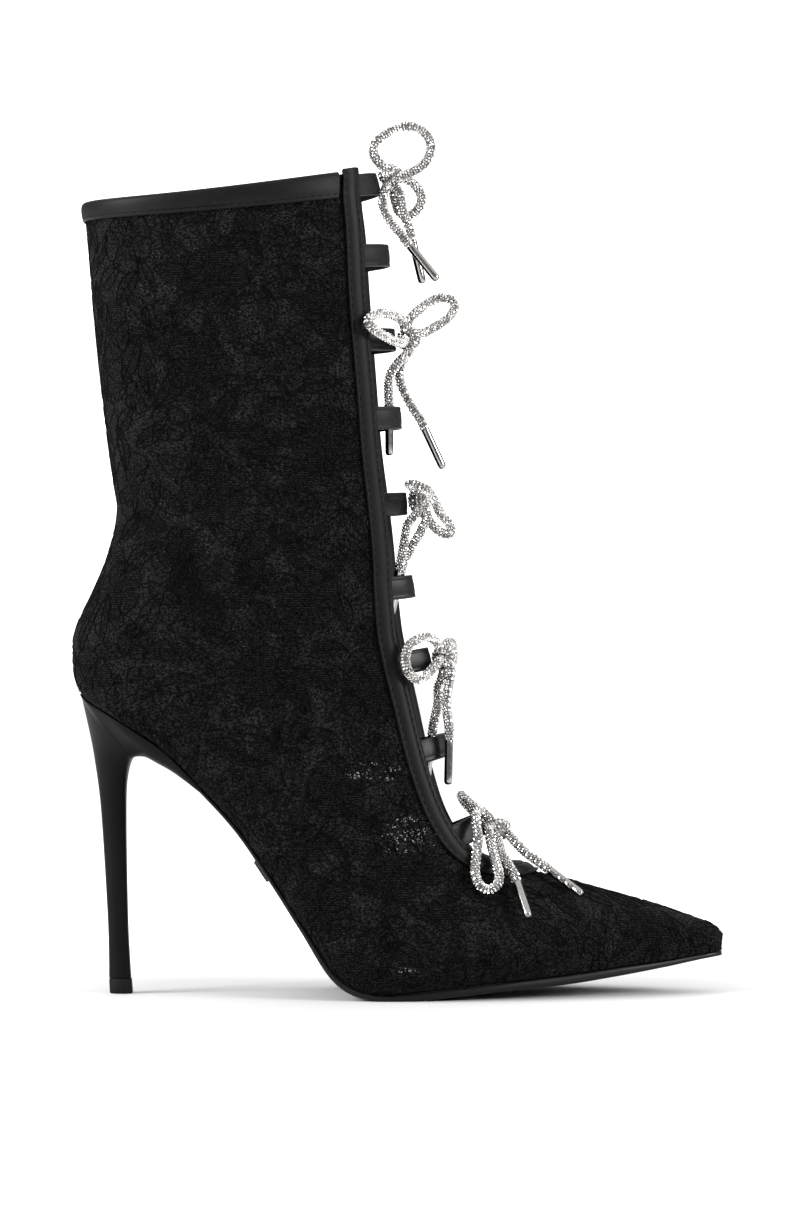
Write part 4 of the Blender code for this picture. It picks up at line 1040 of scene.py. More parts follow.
# The sole's section: share of its half-width, and share of its thickness down from its top.
SOLE_EDGE = (
    (0.0, 0.0), (0.5, 0.0), (0.9, 0.0), (0.975, 0.02), (0.992, 0.14), (1.0, 0.4), (0.998, 0.66),
    (0.985, 0.86), (0.955, 0.97), (0.92, 1.0), (0.88, 1.0), (0.5, 1.0), (0.0, 1.0),
)
# The rows of its mesh, with closer ones round the toe's tip.
SOLE_ROWS = np.concatenate([
    np.linspace(BREAST_ROW, TOE_ROW - 0.6, 130),
    np.linspace(TOE_ROW - 0.59, TOE_ROW - 0.002, 22),
])
rings = []
for row in SOLE_ROWS:
    middle, down, sizes = bottom_frame(row)
    thick = smooth(SOLE_THICK, row - SOLE_FIRST)
    ring = []
    for sign, side, edge in ((1.0, "inner", SOLE_EDGE), (-1.0, "outer", SOLE_EDGE[-2:0:-1])):
        half = sizes[side + "_edge"] + SOLE_MARGIN
        for wide, deep_share in edge:
            point = middle + down * (GAP + thick * deep_share) + np.array((0.0, sign * half * wide, 0.0))
            point[2] = max(point[2], 0.0)
            ring.append(point)
    rings.append(ring)
outsole = closed_skin("leather_sole", rings, 40.0)

# Inked and waxed sole leather: glossy, with faint trimming marks and a soft mottle.
leather, shader = new_material("waxed_sole_leather")
place_on = add_node(leather, "TexCoord", "Object")
patch = add_node(leather, "TexNoise", "Fac", {"Vector": place_on, "Scale": 1.0 / (4.0 * MM), "Detail": 4.0})
colour = add_node(leather, "Mix", 2, {0: patch, 6: srgb("#080809"), 7: srgb("#131315")}, data_type="RGBA")
set_inputs(shader, {
    "Base Color": colour, "Specular IOR Level": 0.15, "Coat Weight": 0.04, "Coat Roughness": 0.2,
    "Roughness": add_node(leather, "MapRange", "Result", {"Value": patch, "To Min": 0.3, "To Max": 0.5}),
    "Normal": add_node(leather, "Bump", "Normal", {
        "Strength": 0.12, "Distance": 0.15 * MM, "Height": patch,
    }),
})
dress(outsole, leather, "sole_black", "outsole")

# Heel: a moulded stiletto with its seat and breast lip, covered with smooth black cloth that is glued
# round it and folded in over its seat. It is nailed on from inside, through the insole.

# The stem's sections from the tip up: back and front ends, half-width, and half-width at the breast.
STEM_COLUMNS = ("back_x", "back_z", "front_x", "front_z", "half", "breast")
STEM = np.array((
    (-101.0, 5.5, -93.4, 5.5, 3.9, 2.2),
    (-101.3, 22.0, -94.3, 22.0, 3.9, 2.2),
    (-102.6, 46.0, -94.9, 46.0, 4.3, 2.4),
    (-104.0, 66.0, -95.1, 65.0, 5.2, 3.0),
    (-105.4, 77.5, -94.9, 73.5, 7.2, 4.0),
    (-107.0, 87.5, -94.2, 78.5, 10.6, 5.6),
    (-108.9, 96.5, -93.5, 81.0, 14.4, 7.2),
    (-110.4, 103.2, -93.0, 82.0, 17.0, 8.2),
))
# The cup's sections forward along the seat: low end, its half-width, most half-width, and where that is.
CUP_COLUMNS = ("along", "under_x", "under_z", "under", "side", "widest")
CUP = (
    (1.0, -92.6, 82.4, 9.4, 17.9, 0.53),
    (4.0, -91.6, 82.9, 10.4, 18.8, 0.45),
    (9.0, -90.0, 83.2, 11.6, 21.0, 0.32),
    (16.5, -87.2, 82.9, 13.2, 24.7, 0.19),
    (26.0, -83.4, 81.0, 15.4, 26.3, 0.13),
    (36.0, -78.6, 78.5, 18.4, 26.2, 0.12),
    (44.5, -73.8, 75.3, 21.0, 25.5, 0.12),
)
# The cup's margin round the last's bottom, how many gaps it lies under it, and its least flare.
SEAT_MARGIN = 0.9
CUP_DROP = 1.5
CUP_FLARE = 0.3
# The lip: how far past the breast's row it ends, its thickness, flare, width underneath and widest place.
LIP_PAST = 0.02
LIP_THICK = 1.3
LIP_FLARE = 0.1
LIP_UNDER = 0.95
LIP_WIDEST = 0.5
# The flat down the stem's back, where the stem is widest, and how finely the heel is read.
STEM_FLAT = 0.5
STEM_WIDEST = 0.55
STEM_SECTIONS = 15
HEEL_FINER = 4


def heel_ring(back, front, back_half, half, front_half, widest):
    """A closed section of the heel between a back and a front point, with a flat at each end."""
    turn = np.linspace(0.0, math.pi / 2.0, 13)
    share = np.concatenate([widest * (1.0 - np.cos(turn)), widest + (1.0 - widest) * np.sin(turn[1:])])
    across = np.concatenate([
        back_half + (half - back_half) * np.sin(turn),
        front_half + (half - front_half) * np.cos(turn[1:]),
    ])
    middle = back + (front - back) * share[:, None]
    over = np.stack([np.zeros_like(across), across, np.zeros_like(across)], axis=1)
    return np.concatenate([middle + over, (middle - over)[::-1]])


rings = []
for at in np.linspace(0.0, len(STEM) - 1.0, STEM_SECTIONS):
    sizes = dict(zip(STEM_COLUMNS, smooth(STEM, at)))
    back = np.array((sizes["back_x"], 0.0, sizes["back_z"]))
    front = np.array((sizes["front_x"], 0.0, sizes["front_z"]))
    rings.append(heel_ring(back, front, STEM_FLAT, sizes["half"], sizes["breast"], STEM_WIDEST))
for row in CUP:
    sizes = dict(zip(CUP_COLUMNS, row))
    middle, down, foot = bottom_frame(bottom_row(sizes["along"]))
    under = np.array((sizes["under_x"], 0.0, sizes["under_z"]))
    half = foot["outer_edge"] + SEAT_MARGIN
    side = max(half + CUP_FLARE, sizes["side"])
    seat = middle + down * CUP_DROP * GAP
    rings.append(heel_ring(seat, under, half, side, sizes["under"], sizes["widest"]))
middle, down, foot = bottom_frame(BREAST_ROW + LIP_PAST)
half = foot["outer_edge"] + SOLE_MARGIN
seat = middle + down * GAP
under = seat + down * LIP_THICK
rings.append(heel_ring(seat, under, half, half + LIP_FLARE, half * LIP_UNDER, LIP_WIDEST))
steps = np.linspace(0.0, len(rings) - 1.0, HEEL_FINER * (len(rings) - 1) + 1)
heel = closed_skin("covered_heel", [smooth(np.array(rings), at) for at in steps], 40.0)

# Heel cover cloth: smooth and close, with a low sheen down the stem. Its weave is drawn 0.6 mm across.
cover, shader = new_material("heel_cover_cloth")
place_on = add_node(cover, "TexCoord", "Object")
weave = add_node(cover, "TexNoise", "Fac", {"Vector": place_on, "Scale": 1.0 / (0.6 * MM), "Detail": 2.0})
patch = add_node(cover, "TexNoise", "Fac", {"Vector": place_on, "Scale": 1.0 / (12.0 * MM), "Detail": 3.0})
colour = add_node(cover, "Mix", 2, {0: patch, 6: srgb("#0d0d0e"), 7: srgb("#131314")}, data_type="RGBA")
set_inputs(shader, {
    "Base Color": colour, "Specular IOR Level": 0.04,
    "Roughness": add_node(cover, "MapRange", "Result", {"Value": patch, "To Min": 0.44, "To Max": 0.56}),
    "Normal": add_node(cover, "Bump", "Normal", {"Strength": 0.08, "Distance": 0.1 * MM, "Height": weave}),
})
dress(heel, cover, "heel_cover", "heel")

# Heel tip: a top piece of hard black rubber, pinned up into the stem and trimmed flush with it.
# It is moulded, with both of its edges eased. Ends are given at the floor and at its top.
TIP_HEIGHT = 5.2
TIP_BACK = (-100.8, -101.0)
TIP_FRONT = (-92.8, -93.2)
TIP_HALF = 4.1
TIP_BREAST = 2.5
# Share of the way up, and how much the section grows there.
TIP_EDGE = ((0.0, -0.25), (0.06, 0.0), (0.5, 0.0), (0.9, 0.0), (0.97, -0.06), (1.0, -0.2))
rings = []
for up, grown in TIP_EDGE:
    back, front = (floor_end + (top_end - floor_end) * up for floor_end, top_end in (TIP_BACK, TIP_FRONT))
    back = np.array((back - grown, 0.0, TIP_HEIGHT * up))
    front = np.array((front + grown, 0.0, TIP_HEIGHT * up))
    rings.append(heel_ring(back, front, STEM_FLAT, TIP_HALF + grown, TIP_BREAST + grown, STEM_WIDEST))
tip = closed_skin("rubber_top_piece", rings, 40.0)

# Moulded rubber, matt with a fine speckle.
rubber, shader = new_material("moulded_rubber")
place_on = add_node(rubber, "TexCoord", "Object")
speck = add_node(rubber, "TexNoise", "Fac", {"Vector": place_on, "Scale": 1.0 / (0.5 * MM), "Detail": 3.0})
colour = add_node(rubber, "Mix", 2, {0: speck, 6: srgb("#060607"), 7: srgb("#0e0e10")}, data_type="RGBA")
set_inputs(shader, {
    "Base Color": colour, "Roughness": 0.7, "Specular IOR Level": 0.15,
    "Normal": add_node(rubber, "Bump", "Normal", {"Strength": 0.3, "Distance": 0.1 * MM, "Height": speck}),
})
dress(tip, rubber, "rubber_tip", "heel_tip")

# Waist plate: a small plain plate of dark metal with rounded corners, glued under the waist of the sole.
# It is cut from rolled sheet and blackened, and its edges are rounded off.

# The last's row at its middle, its length along the boot, width and thickness, the glue, and its rounding.
PLATE_ROW = 14.75
PLATE = (8.4, 14.0, 1.2)
PLATE_GLUE = 0.15
PLATE_ROUND = 0.45
middle, down, sizes = bottom_frame(PLATE_ROW)
run = np.array((-down[2], 0.0, down[0]))
thick = smooth(SOLE_THICK, PLATE_ROW - SOLE_FIRST)
face = middle + down * (2.0 * GAP + PLATE_GLUE + thick + PLATE[2] / 2.0)
pick()
bpy.ops.mesh.primitive_cube_add(size=1.0)
plate = bpy.context.object
plate.name = "plain_waist_plate"
plate.data.transform(Matrix.Diagonal((*(size * MM for size in PLATE), 1.0)))
bpy.ops.object.mode_set(mode="EDIT")
bpy.ops.mesh.select_all(action="SELECT")
bpy.ops.mesh.bevel(offset=PLATE_ROUND * MM, segments=3)
bpy.ops.object.mode_set(mode="OBJECT")
plate.data.transform(Matrix(placing(face, run, -down)))
bpy.ops.object.shade_smooth_by_angle(angle=math.radians(35.0))

# Blackened metal, rolled: a low gloss with faint brush lines along the boot.
dark_metal, shader = new_material("blackened_metal")
place_on = add_node(dark_metal, "TexCoord", "Object")
stretch = add_node(dark_metal, "Mapping", "Vector", {"Vector": place_on, "Scale": (1.0, 12.0, 1.0)})
brush = add_node(dark_metal, "TexNoise", "Fac", {"Vector": stretch, "Scale": 1.0 / (2.0 * MM), "Detail": 2.0})
colour = add_node(dark_metal, "Mix", 2, {0: brush, 6: srgb("#29292b"), 7: srgb("#48484b")}, data_type="RGBA")
set_inputs(shader, {
    "Base Color": colour, "Metallic": 1.0, "Anisotropic": 0.3,
    "Roughness": add_node(dark_metal, "MapRange", "Result", {"Value": brush, "To Min": 0.25, "To Max": 0.45}),
})
dress(plate, dark_metal, "plate_metal", "waist_plate")

# Bows: five bows of soft cord, a knitted tube set all over with foiled rhinestones, one on every other
# bar. Each has a knot, two loops and two ends, and a crimped metal aglet closes each end.

# Thickness of the cord over its stones, radius of its tube, and the step between points of a route.
CORD = 3.2
CORE = 1.36
CORD_STEP = 0.7
# A knot's radius, its room over the bar, and how deep the cords start in it. Each wound knot lies a little
# up or down the front from the middle of its bow, and is tilted.
KNOT = 3.8
KNOT_CLEAR = 0.45
KNOT_TUCK = 1.2
KNOT_DROPS = (-1.6, 1.4, 1.2, 0.4, 2.4)
KNOT_TILTS = (0.35, -0.3, 0.5, -0.2, 0.3)
# The cord is wound twice: radius, advance in half a turn, and ends in half turns. Then one strand lies
# slanted over it, by its radius, slant and ends.
WIND_RADIUS = 2.3
WIND_STEP = 1.35
WIND_ENDS = (-0.5, 3.5)
OVER_RADIUS = 3.1
OVER_SLANT = (0.75, 0.66)
OVER_END = 0.62
# A stone's width and height, its flat top, stones in a row round the cord, and the step between rows. Then
# how far a stone stands out from the tube, how far it may lean, and how chance favours a bright tint.
STONE = (1.04, 0.4)
STONE_TOP = 0.3
STONES_ROUND = 9
STONE_PITCH = 0.98
STONE_OUT = 0.14
STONE_LEAN = 0.12
STONE_BRIGHT = 0.6
# Each bow: its bar, how far its middle lies above the bar's, and the routes of its loops and ends. Points
# are forward, inward and up from the bow's middle, and a tip is the far end of an aglet.
BOWS = (
    {
        "strap": 1,
        "rise": 0.8,
        "outer_loop": (
            (-2.6, -5.0, 3.8), (-5.6, -8.0, 7.5), (-5.2, -9.5, 11.5), (-1.0, -10.0, 15.0),
            (4.5, -10.0, 17.3), (9.6, -9.0, 16.8), (13.2, -7.5, 14.0), (14.3, -6.0, 9.8),
            (12.6, -5.0, 5.6), (9.2, -4.0, 2.8), (5.8, -2.8, 1.4),
        ),
        "inner_loop": (
            (5.6, 4.2, 0.3), (9.5, 6.5, -2.4), (11.1, 8.0, -6.3), (9.6, 9.0, -10.0),
            (6.2, 9.2, -12.2), (3.2, 8.0, -10.9), (2.0, 6.2, -8.0), (1.2, 4.6, -4.8),
        ),
        "outer_end": (
            (-2.0, -3.8, -5.0), (-2.5, -5.0, -9.5), (-0.8, -5.5, -14.0),
            (2.1, -6.0, -17.8), (4.8, -6.2, -21.3),
        ),
        "outer_tip": (14.9, -8.0, -34.0),
        "inner_end": ((3.4, -0.3, -5.2), (4.2, 0.6, -10.0), (5.4, 1.6, -14.0), (7.0, 2.5, -17.9)),
        "inner_tip": (10.5, 4.0, -32.6),
    },
    {
        "strap": 3,
        "rise": 1.5,
        "outer_loop": (
            (-2.0, -4.4, 4.8), (-6.0, -13.0, 6.4), (-10.5, -22.0, 6.0), (-13.5, -27.0, 3.2),
            (-11.5, -25.0, 0.4), (-7.8, -18.0, -1.6), (-4.2, -11.0, -3.0), (-1.8, -6.0, -3.2),
        ),
        "inner_loop": (
            (0.4, 4.4, 5.2), (3.4, 7.0, 8.6), (7.6, 9.5, 11.9), (11.6, 11.0, 13.7), (15.1, 11.0, 13.3),
            (16.8, 10.0, 10.9), (15.1, 8.5, 7.0), (11.6, 6.5, 4.2), (8.2, 4.6, 2.2), (6.2, 3.0, 1.0),
        ),
        "outer_end": (
            (0.6, -1.8, -5.9), (-3.0, -4.6, -9.8), (-5.8, -5.0, -13.8),
            (-6.6, -4.5, -18.6), (-6.4, -3.6, -23.4),
        ),
        "outer_tip": (-6.3, -3.0, -41.0),
        "inner_end": (
            (0.8, 4.4, -5.6), (-2.1, 4.0, -10.0), (-2.8, 3.2, -15.1), (-1.1, 2.6, -19.8), (1.5, 2.4, -24.9),
            (4.6, 2.2, -29.6),
        ),
        "inner_tip": (12.3, 2.0, -46.2),
    },
    {
        "strap": 5,
        "rise": 1.7,
        "outer_loop": (
            (-2.6, -4.4, 4.4), (-3.4, -11.0, 4.4), (-1.6, -16.5, 4.4), (1.6, -17.0, 3.2), (3.6, -12.0, 1.8),
            (3.6, -5.4, 0.6),
        ),
        "inner_loop": (
            (5.2, 3.2, -0.4), (7.6, 8.0, -5.2), (10.8, 12.0, -8.9), (11.4, 13.6, -12.3), (8.2, 12.0, -12.0),
            (4.4, 9.4, -8.8), (0.7, 5.9, -3.6),
        ),
        "outer_end": (
            (-0.8, -3.6, -5.4), (-3.8, -4.4, -9.0), (-4.8, -4.2, -13.5),
            (-5.6, -3.8, -18.0), (-6.4, -3.6, -22.0),
        ),
        "outer_tip": (-9.5, -3.4, -39.0),
        "inner_end": (
            (3.0, 0.7, -6.0), (1.0, 1.6, -11.0), (-1.6, 2.2, -15.6), (-4.0, 2.6, -19.6), (-5.4, 2.8, -22.6),
        ),
        "inner_tip": (-9.6, 3.0, -39.5),
    },
    {
        "strap": 7,
        "rise": -0.15,
        "outer_loop": (
            (-2.0, -4.6, 4.6), (-5.0, -10.0, 6.6), (-8.4, -15.5, 6.0),
            (-11.6, -19.0, 3.9), (-13.0, -20.5, -0.7),
            (-12.0, -20.0, -5.4), (-9.0, -16.5, -8.0), (-5.6, -11.0, -6.6), (-2.0, -6.2, -2.6),
        ),
        "inner_loop": (
            (1.6, 5.0, 4.2), (3.0, 11.5, 4.6), (3.8, 18.0, 3.2), (4.0, 19.5, 0.4), (3.8, 17.0, -2.2),
            (3.2, 11.0, -3.0), (2.4, 5.6, -1.8),
        ),
        "outer_end": (
            (3.0, -3.0, -5.2), (1.8, -5.0, -12.5), (1.4, -7.0, -18.2), (2.0, -8.6, -22.6), (2.3, -9.4, -25.8),
        ),
        "outer_tip": (1.9, -10.5, -43.0),
        "inner_end": (
            (0.2, 2.2, -6.2), (-1.4, 2.4, -11.0), (-1.4, 1.6, -15.5), (-2.2, 0.8, -20.0), (-3.2, 0.2, -24.4),
        ),
        "inner_tip": (-5.5, 0.0, -42.0),
    },
    {
        "strap": 9,
        "rise": -2.8,
        "outer_loop": (
            (-5.2, -3.4, 4.8), (-7.0, -9.2, 2.7), (-6.2, -15.8, -4.0), (-6.9, -20.9, -10.0),
            (-7.4, -24.6, -15.1), (-6.0, -26.8, -19.5), (-2.7, -27.4, -21.3), (0.3, -26.9, -19.4),
            (0.8, -24.4, -15.7), (-0.2, -18.9, -11.7), (-1.6, -12.4, -6.5), (-2.3, -6.8, -1.5),
        ),
        "inner_loop": (
            (-4.0, 4.4, 3.4), (-7.5, 9.0, 5.8), (-10.4, 14.5, 8.2), (-11.6, 19.0, 9.1), (-10.6, 20.5, 7.0),
            (-7.4, 16.4, 3.6), (-3.6, 11.2, -0.4), (-0.8, 6.6, -2.4),
        ),
        "outer_end": (
            (0.8, -3.6, -5.4), (1.6, -8.0, -7.6), (2.8, -13.0, -10.8),
            (4.8, -17.5, -14.2), (6.2, -20.0, -16.6),
        ),
        "outer_tip": (11.1, -33.0, -31.2),
        "inner_end": (
            (4.8, -1.0, -3.6), (7.4, -2.4, -6.7), (10.6, -3.8, -9.8),
            (14.2, -5.0, -12.4), (16.6, -5.8, -14.1),
        ),
        "inner_tip": (30.8, -16.0, -24.5),
    },
)

# Foiled glass rhinestones: bright and hard like little mirrors, each tilted a little from the next.
stones, shader = new_material("foiled_rhinestone")
tint = add_node(stones, "Attribute", "Fac", attribute_name="tint")
colour = add_node(stones, "Mix", 2, {0: tint, 6: srgb("#807e7d"), 7: srgb("#e2e0de")}, data_type="RGBA")
set_inputs(shader, {"Base Color": colour, "Metallic": 0.9, "Roughness": 0.12})

# Knitted silver-grey tube under the stones, dark in the gaps between them: its dark grey is partly painted
# shade between the stones.
knit, shader = new_material("knitted_cord_tube")
place_on = add_node(knit, "TexCoord", "Object")
loop_knit = add_node(knit, "TexVoronoi", "Distance", {"Vector": place_on, "Scale": 1.0 / (0.5 * MM)})
colour = add_node(knit, "Mix", 2, {0: loop_knit, 6: srgb("#232120"), 7: srgb("#5e5b59")}, data_type="RGBA")
set_inputs(shader, {"Base Color": colour, "Metallic": 0.3, "Roughness": 0.55})

# Polished nickel plate, drawn into a tube: faint clouds in its gloss.
nickel, shader = new_material("polished_nickel")
place_on = add_node(nickel, "TexCoord", "Object")
drawn = add_node(nickel, "TexNoise", "Fac", {"Vector": place_on, "Scale": 1.0 / (1.5 * MM), "Detail": 3.0})
colour = add_node(nickel, "Mix", 2, {0: drawn, 6: srgb("#807e7c"), 7: srgb("#9a9896")}, data_type="RGBA")
set_inputs(shader, {
    "Base Color": colour, "Metallic": 1.0,
    "Roughness": add_node(nickel, "MapRange", "Result", {"Value": drawn, "To Min": 0.07, "To Max": 0.2}),
})

# One stone: a low six-sided cone cut flat on top.
pick()
bpy.ops.mesh.primitive_cone_add(
    vertices=6, radius1=STONE[0] / 2.0 * MM, radius2=STONE[0] * STONE_TOP * MM, depth=STONE[1] * MM,
    end_fill_type="NGON",
)
one_stone = bpy.context.object
one_stone.name = "one_stone"

# One aglet along +X from its mouth: a tube with a rolled mouth, a rounded end and crimps down one side.
# Each place along it has a radius. One aglet alone is turned so that its crimps show.
AGLET_RADIUS = 1.45
AGLET_MOUTH = ((0.9, 1.30), (0.45, 1.32), (0.42, 1.42), (0.6, 1.5), (0.95, 1.47), (2.4, 1.45))
AGLET_END = ((14.2, 1.45), (15.0, 1.36), (15.5, 1.08), (15.75, 0.6), (15.8, 0.05))
AGLET_HOLDS = 12.0
CRIMPS = (4.0, 7.5, 11.0)
CRIMP_STEPS = (-0.8, -0.4, 0.0, 0.4, 0.8)
CRIMP_DEEP = 0.5
CRIMP_LONG = 0.55
CRIMP_WIDE = 0.7
CRIMPS_SEEN = "bow_5_inner"
crimped = [(crimp + step, AGLET_RADIUS) for crimp in CRIMPS for step in CRIMP_STEPS]
turns = np.radians(np.arange(0.0, 360.0, 15.0))
rings = np.array([
    [(along, radius * math.cos(turn), radius * math.sin(turn)) for turn in turns]
    for along, radius in (*AGLET_MOUTH, *crimped, *AGLET_END)
])
for point in rings.reshape(-1, 3):
    for crimp in CRIMPS:
        near = math.exp(-(((point[0] - crimp) / CRIMP_LONG) ** 2) - (point[1] / CRIMP_WIDE) ** 2)
        point[2] -= CRIMP_DEEP * near if point[2] > 0.0 else 0.0
one_aglet = closed_skin("one_aglet", rings + ORIGIN, 40.0)


def cord_line(points):
    """Even points of a smooth curve through a route."""
    rows = np.array(points)
    line = np.array([smooth(rows, at) for at in np.linspace(0.0, len(rows) - 1.0, 30 * len(rows))])
    length = lengths_along(line)[-1]
    return spread(line, np.linspace(0.0, length, max(int(length / CORD_STEP), 6) + 1))


def cord_frames(line):
    """Directions along and across a line, turning as little as they can."""
    along = np.gradient(line, axis=0)
    along /= np.linalg.norm(along, axis=1)[:, None]
    side = np.cross(along[0], (0.3, 1.0, 0.2))
    first_sides = []
    for run in along:
        side = side - run * (side @ run)
        side = side / np.linalg.norm(side)
        first_sides.append(side)
    first_sides = np.array(first_sides)
    return along, first_sides, np.cross(along, first_sides)


def stone_cord(name, line, covered):
    """A knitted tube along a line, set with rows of stones over the length given."""
    along, side, other = cord_frames(line)
    turns = np.radians(np.arange(0.0, 360.0, 36.0))
    rings = [line + CORE * (side * math.cos(turn) + other * math.sin(turn)) for turn in turns]
    tube = closed_skin(name, np.stack(rings, axis=1), 60.0)
    tube.data.materials.append(knit)
    spots = []
    for count, at in enumerate(np.arange(STONE_PITCH / 2.0, covered, STONE_PITCH)):
        here = spread(line, [at])[0]
        run = spread_vectors(line, along, at)
        first = spread_vectors(line, side, at)
        second = np.cross(run, first)
        for k in range(STONES_ROUND):
            turn = 2.0 * math.pi * (k + 0.5 * (count % 2)) / STONES_ROUND
            out = first * math.cos(turn) + second * math.sin(turn)
            lean = out + run * chance.uniform(-STONE_LEAN, STONE_LEAN)
            lean = lean + np.cross(run, out) * chance.uniform(-STONE_LEAN, STONE_LEAN)
            spots.append(placing(here + out * (CORE + STONE_OUT), run, lean / np.linalg.norm(lean)))
    crust = scatter(name + "_stones", one_stone, spots)
    crust.data.materials.append(stones)
    layer = crust.data.attributes.new("tint", "FLOAT", "POINT")
    tints = np.repeat([chance.random() ** STONE_BRIGHT for _ in spots], len(one_stone.data.vertices))
    layer.data.foreach_set("value", tints.astype(np.float32))
    pick(tube, crust)
    bpy.ops.object.join()
    return tube


def over_bar(down):
    """The middle of a knot on the front line at a length down it, and the direction out from there."""
    out = front_normal(down, 0.0)
    return front_point(down, 0.0) + out * (KNOT + KNOT_CLEAR), out


def on_knot(centre, point):
    away = np.array(point) / np.linalg.norm(point)
    return centre + away * (KNOT - KNOT_TUCK)


across = np.array((0.0, 1.0, 0.0))
for number, bow in enumerate(BOWS, 1):
    down = front_length(STRAP_HEIGHTS[bow["strap"] - 1]) - bow["rise"]
    centre, out = over_bar(down)
    up = np.cross(out, across)
    heart, _ = over_bar(down + KNOT_DROPS[number - 1])
    tilt = KNOT_TILTS[number - 1]
    axis = across * math.cos(tilt) + up * math.sin(tilt)
    around = np.cross(axis, out)
    turn = np.linspace(WIND_ENDS[0] * math.pi, WIND_ENDS[1] * math.pi, 60)[:, None]
    wind = heart + WIND_RADIUS * (out * np.cos(turn) + around * np.sin(turn))
    wind = wind + axis * (turn / math.pi - sum(WIND_ENDS) / 2.0) * WIND_STEP
    knot = stone_cord("bow_%d_wound_knot" % number, wind, lengths_along(wind)[-1])
    turn = np.linspace(-OVER_END * math.pi, OVER_END * math.pi, 40)[:, None]
    slant = axis * OVER_SLANT[0] + around * OVER_SLANT[1]
    over = heart + OVER_RADIUS * (out * np.cos(turn) + slant * np.sin(turn))
    pick(knot, stone_cord("bow_%d_over_strand" % number, over, lengths_along(over)[-1]))
    bpy.ops.object.join()
    dress(knot, stones, "rhinestone_cord", "bow_%d_knot" % number)
    for side in ("outer", "inner"):
        name = "bow_%d_%s" % (number, side)
        loop = bow[side + "_loop"]
        route = [on_knot(centre, loop[0]), *(centre + np.array(p) for p in loop), on_knot(centre, loop[-1])]
        line = cord_line(route)
        piece = stone_cord(name + "_stone_loop", line, lengths_along(line)[-1])
        dress(piece, stones, "rhinestone_cord", name + "_loop")
        end = bow[side + "_end"]
        route = [on_knot(centre, end[0]), *(centre + np.array(p) for p in end)]
        tip_at = centre + np.array(bow[side + "_tip"])
        run = (tip_at - route[-1]) / np.linalg.norm(tip_at - route[-1])
        route.append(route[-1] + run * CORD)
        mouth = route[-1]
        shown = lengths_along(cord_line(route))[-1]
        route.append(mouth + run * AGLET_HOLDS / 2.0)
        route.append(mouth + run * AGLET_HOLDS)
        line = cord_line(route)
        piece = stone_cord(name + "_stone_end", line, shown)
        dress(piece, stones, "rhinestone_cord", name + "_end")
        pick(one_aglet)
        bpy.ops.object.duplicate(linked=False)
        aglet = bpy.context.object
        aglet.name = name + "_nickel_aglet"
        crimped_side = -across if name == CRIMPS_SEEN else across
        aglet.data.transform(Matrix(placing(mouth, run, crimped_side)))
        dress(aglet, nickel, "aglet_metal", name + "_aglet")
for pattern in (one_stitch, one_stone, one_aglet):
    bpy.data.objects.remove(pattern)

# Studio: a plain floor of white paper, soft light from above and from panels, and a camera level with the
# middle of the boot, square to its outer side as in the photograph.
FLOOR_SIZE = 12.0
pick()
bpy.ops.mesh.primitive_grid_add(x_subdivisions=2, y_subdivisions=2, size=FLOOR_SIZE)
floor = bpy.context.object
floor.name = "studio_floor"

# White paper: matt, with a faint cloud 25 mm across. Under the boot its colour is greyer, a painted shadow
# that clears between two radii in metres, so that a soft shadow shows in the bright light.
PAINTED_SHADOW_RADII = (0.09, 0.26)
paper, shader = new_material("white_paper_floor")
place_on = add_node(paper, "TexCoord", "Object")
grain = add_node(paper, "TexNoise", "Fac", {"Vector": place_on, "Scale": 1.0 / (25.0 * MM)})
clean = add_node(paper, "Mix", 2, {0: grain, 6: srgb("#f4f4f4"), 7: srgb("#f8f8f8")}, data_type="RGBA")
away = add_node(paper, "VectorMath", "Value", {0: place_on}, operation="LENGTH")
clear = add_node(paper, "MapRange", "Result", {"Value": away, "From Min": PAINTED_SHADOW_RADII[0], "From Max": PAINTED_SHADOW_RADII[1]})
# Painted shadow: grey paper colour under the boot, clearing to white between the two radii.
colour = add_node(paper, "Mix", 2, {0: clear, 6: srgb("#c6c6c6"), 7: clean}, data_type="RGBA")
set_inputs(shader, {"Base Color": colour, "Roughness": 0.6})
floor.data.materials.append(paper)

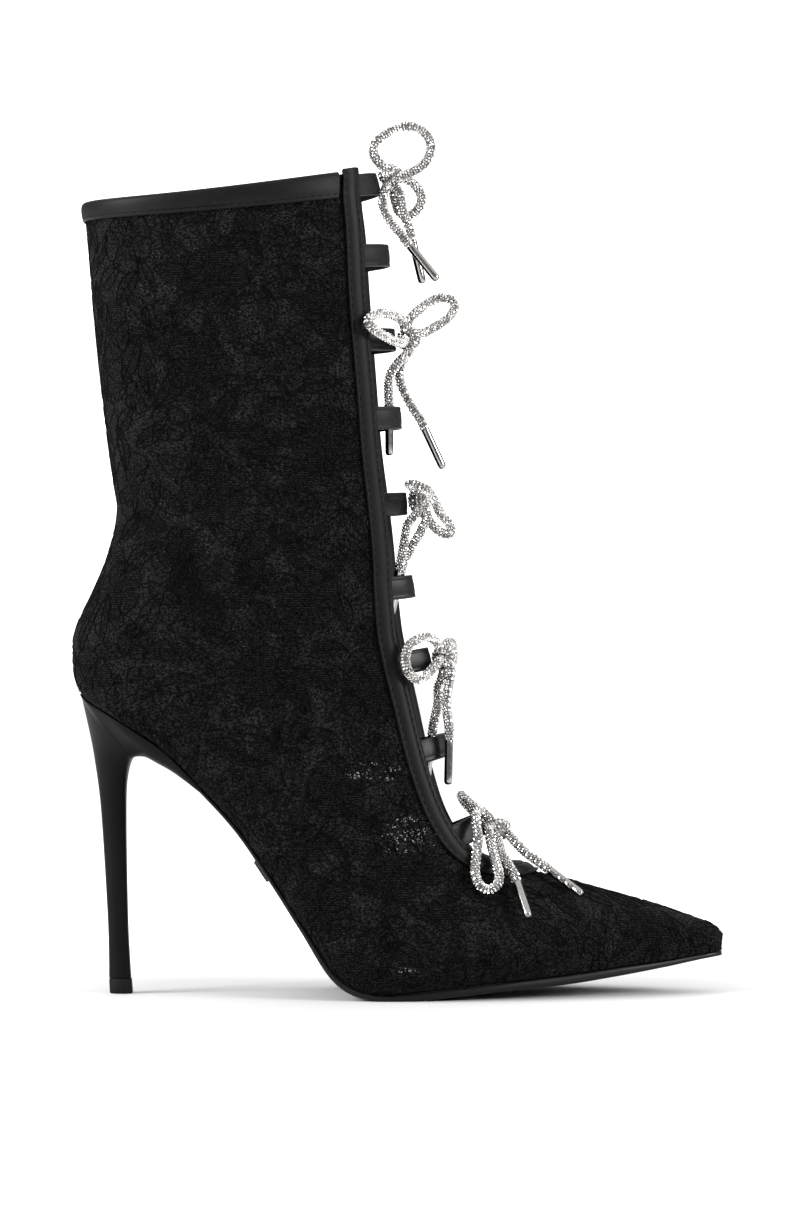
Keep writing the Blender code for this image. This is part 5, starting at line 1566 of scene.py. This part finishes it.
# The camera sees white all round, while the light that reaches the boot from there is softer.
WHITE_SEEN = 2.0
WHITE_CAST = 0.3
world = bpy.data.worlds.new("white_studio")
bpy.context.scene.world = world
world.use_nodes = True
seen = add_node(world, "LightPath", "Is Camera Ray")
strength = add_node(world, "MapRange", "Result", {"Value": seen, "To Min": WHITE_CAST, "To Max": WHITE_SEEN})
set_inputs(world.node_tree.nodes["Background"], {"Color": (1.0, 1.0, 1.0, 1.0), "Strength": strength})
bpy.context.scene.view_settings.view_transform = "Standard"

# A wide soft light from above, tilted by a few degrees, and panels that face the middle of the boot:
# place, size and power.
SUN_TILT = (-8.0, 6.0, 0.0)
SUN_POWER = 2.75
SUN_WIDTH = 110.0
BOOT_MIDDLE = Vector((0.0, 0.0, 0.14))
PANELS = (
    ("left_panel", (-1.6, -0.6, 0.9), 0.9, 54.0),
    ("right_panel", (1.6, -0.8, 0.8), 0.7, 38.0),
    ("front_panel", (-0.4, -2.2, 1.5), 0.9, 6.0),
)
tilts = [math.radians(tilt) for tilt in SUN_TILT]
bpy.ops.object.light_add(type="SUN", location=(0.0, 0.0, 2.0), rotation=tilts)
overhead = bpy.context.object
overhead.name = "overhead_light"
overhead.data.energy = SUN_POWER
overhead.data.angle = math.radians(SUN_WIDTH)
for name, spot, size, power in PANELS:
    bpy.ops.object.light_add(type="AREA", location=spot)
    panel = bpy.context.object
    panel.name = name
    panel.data.shape = "SQUARE"
    panel.data.size = size
    panel.data.energy = power
    panel.rotation_euler = (BOOT_MIDDLE - Vector(spot)).to_track_quat("-Z", "Y").to_euler()

# A long lens from well back, so that the boot is seen nearly square on all over.
CAMERA_AT = (0.0004, -1.5459, 0.136)
CAMERA_SENSOR = 36.0
CAMERA_LENS = 131.4
bpy.ops.object.camera_add(location=CAMERA_AT, rotation=(math.pi / 2.0, 0.0, 0.0))
camera = bpy.context.object
camera.name = "photo_camera"
camera.data.sensor_width = CAMERA_SENSOR
camera.data.lens = CAMERA_LENS
bpy.context.scene.camera = camera
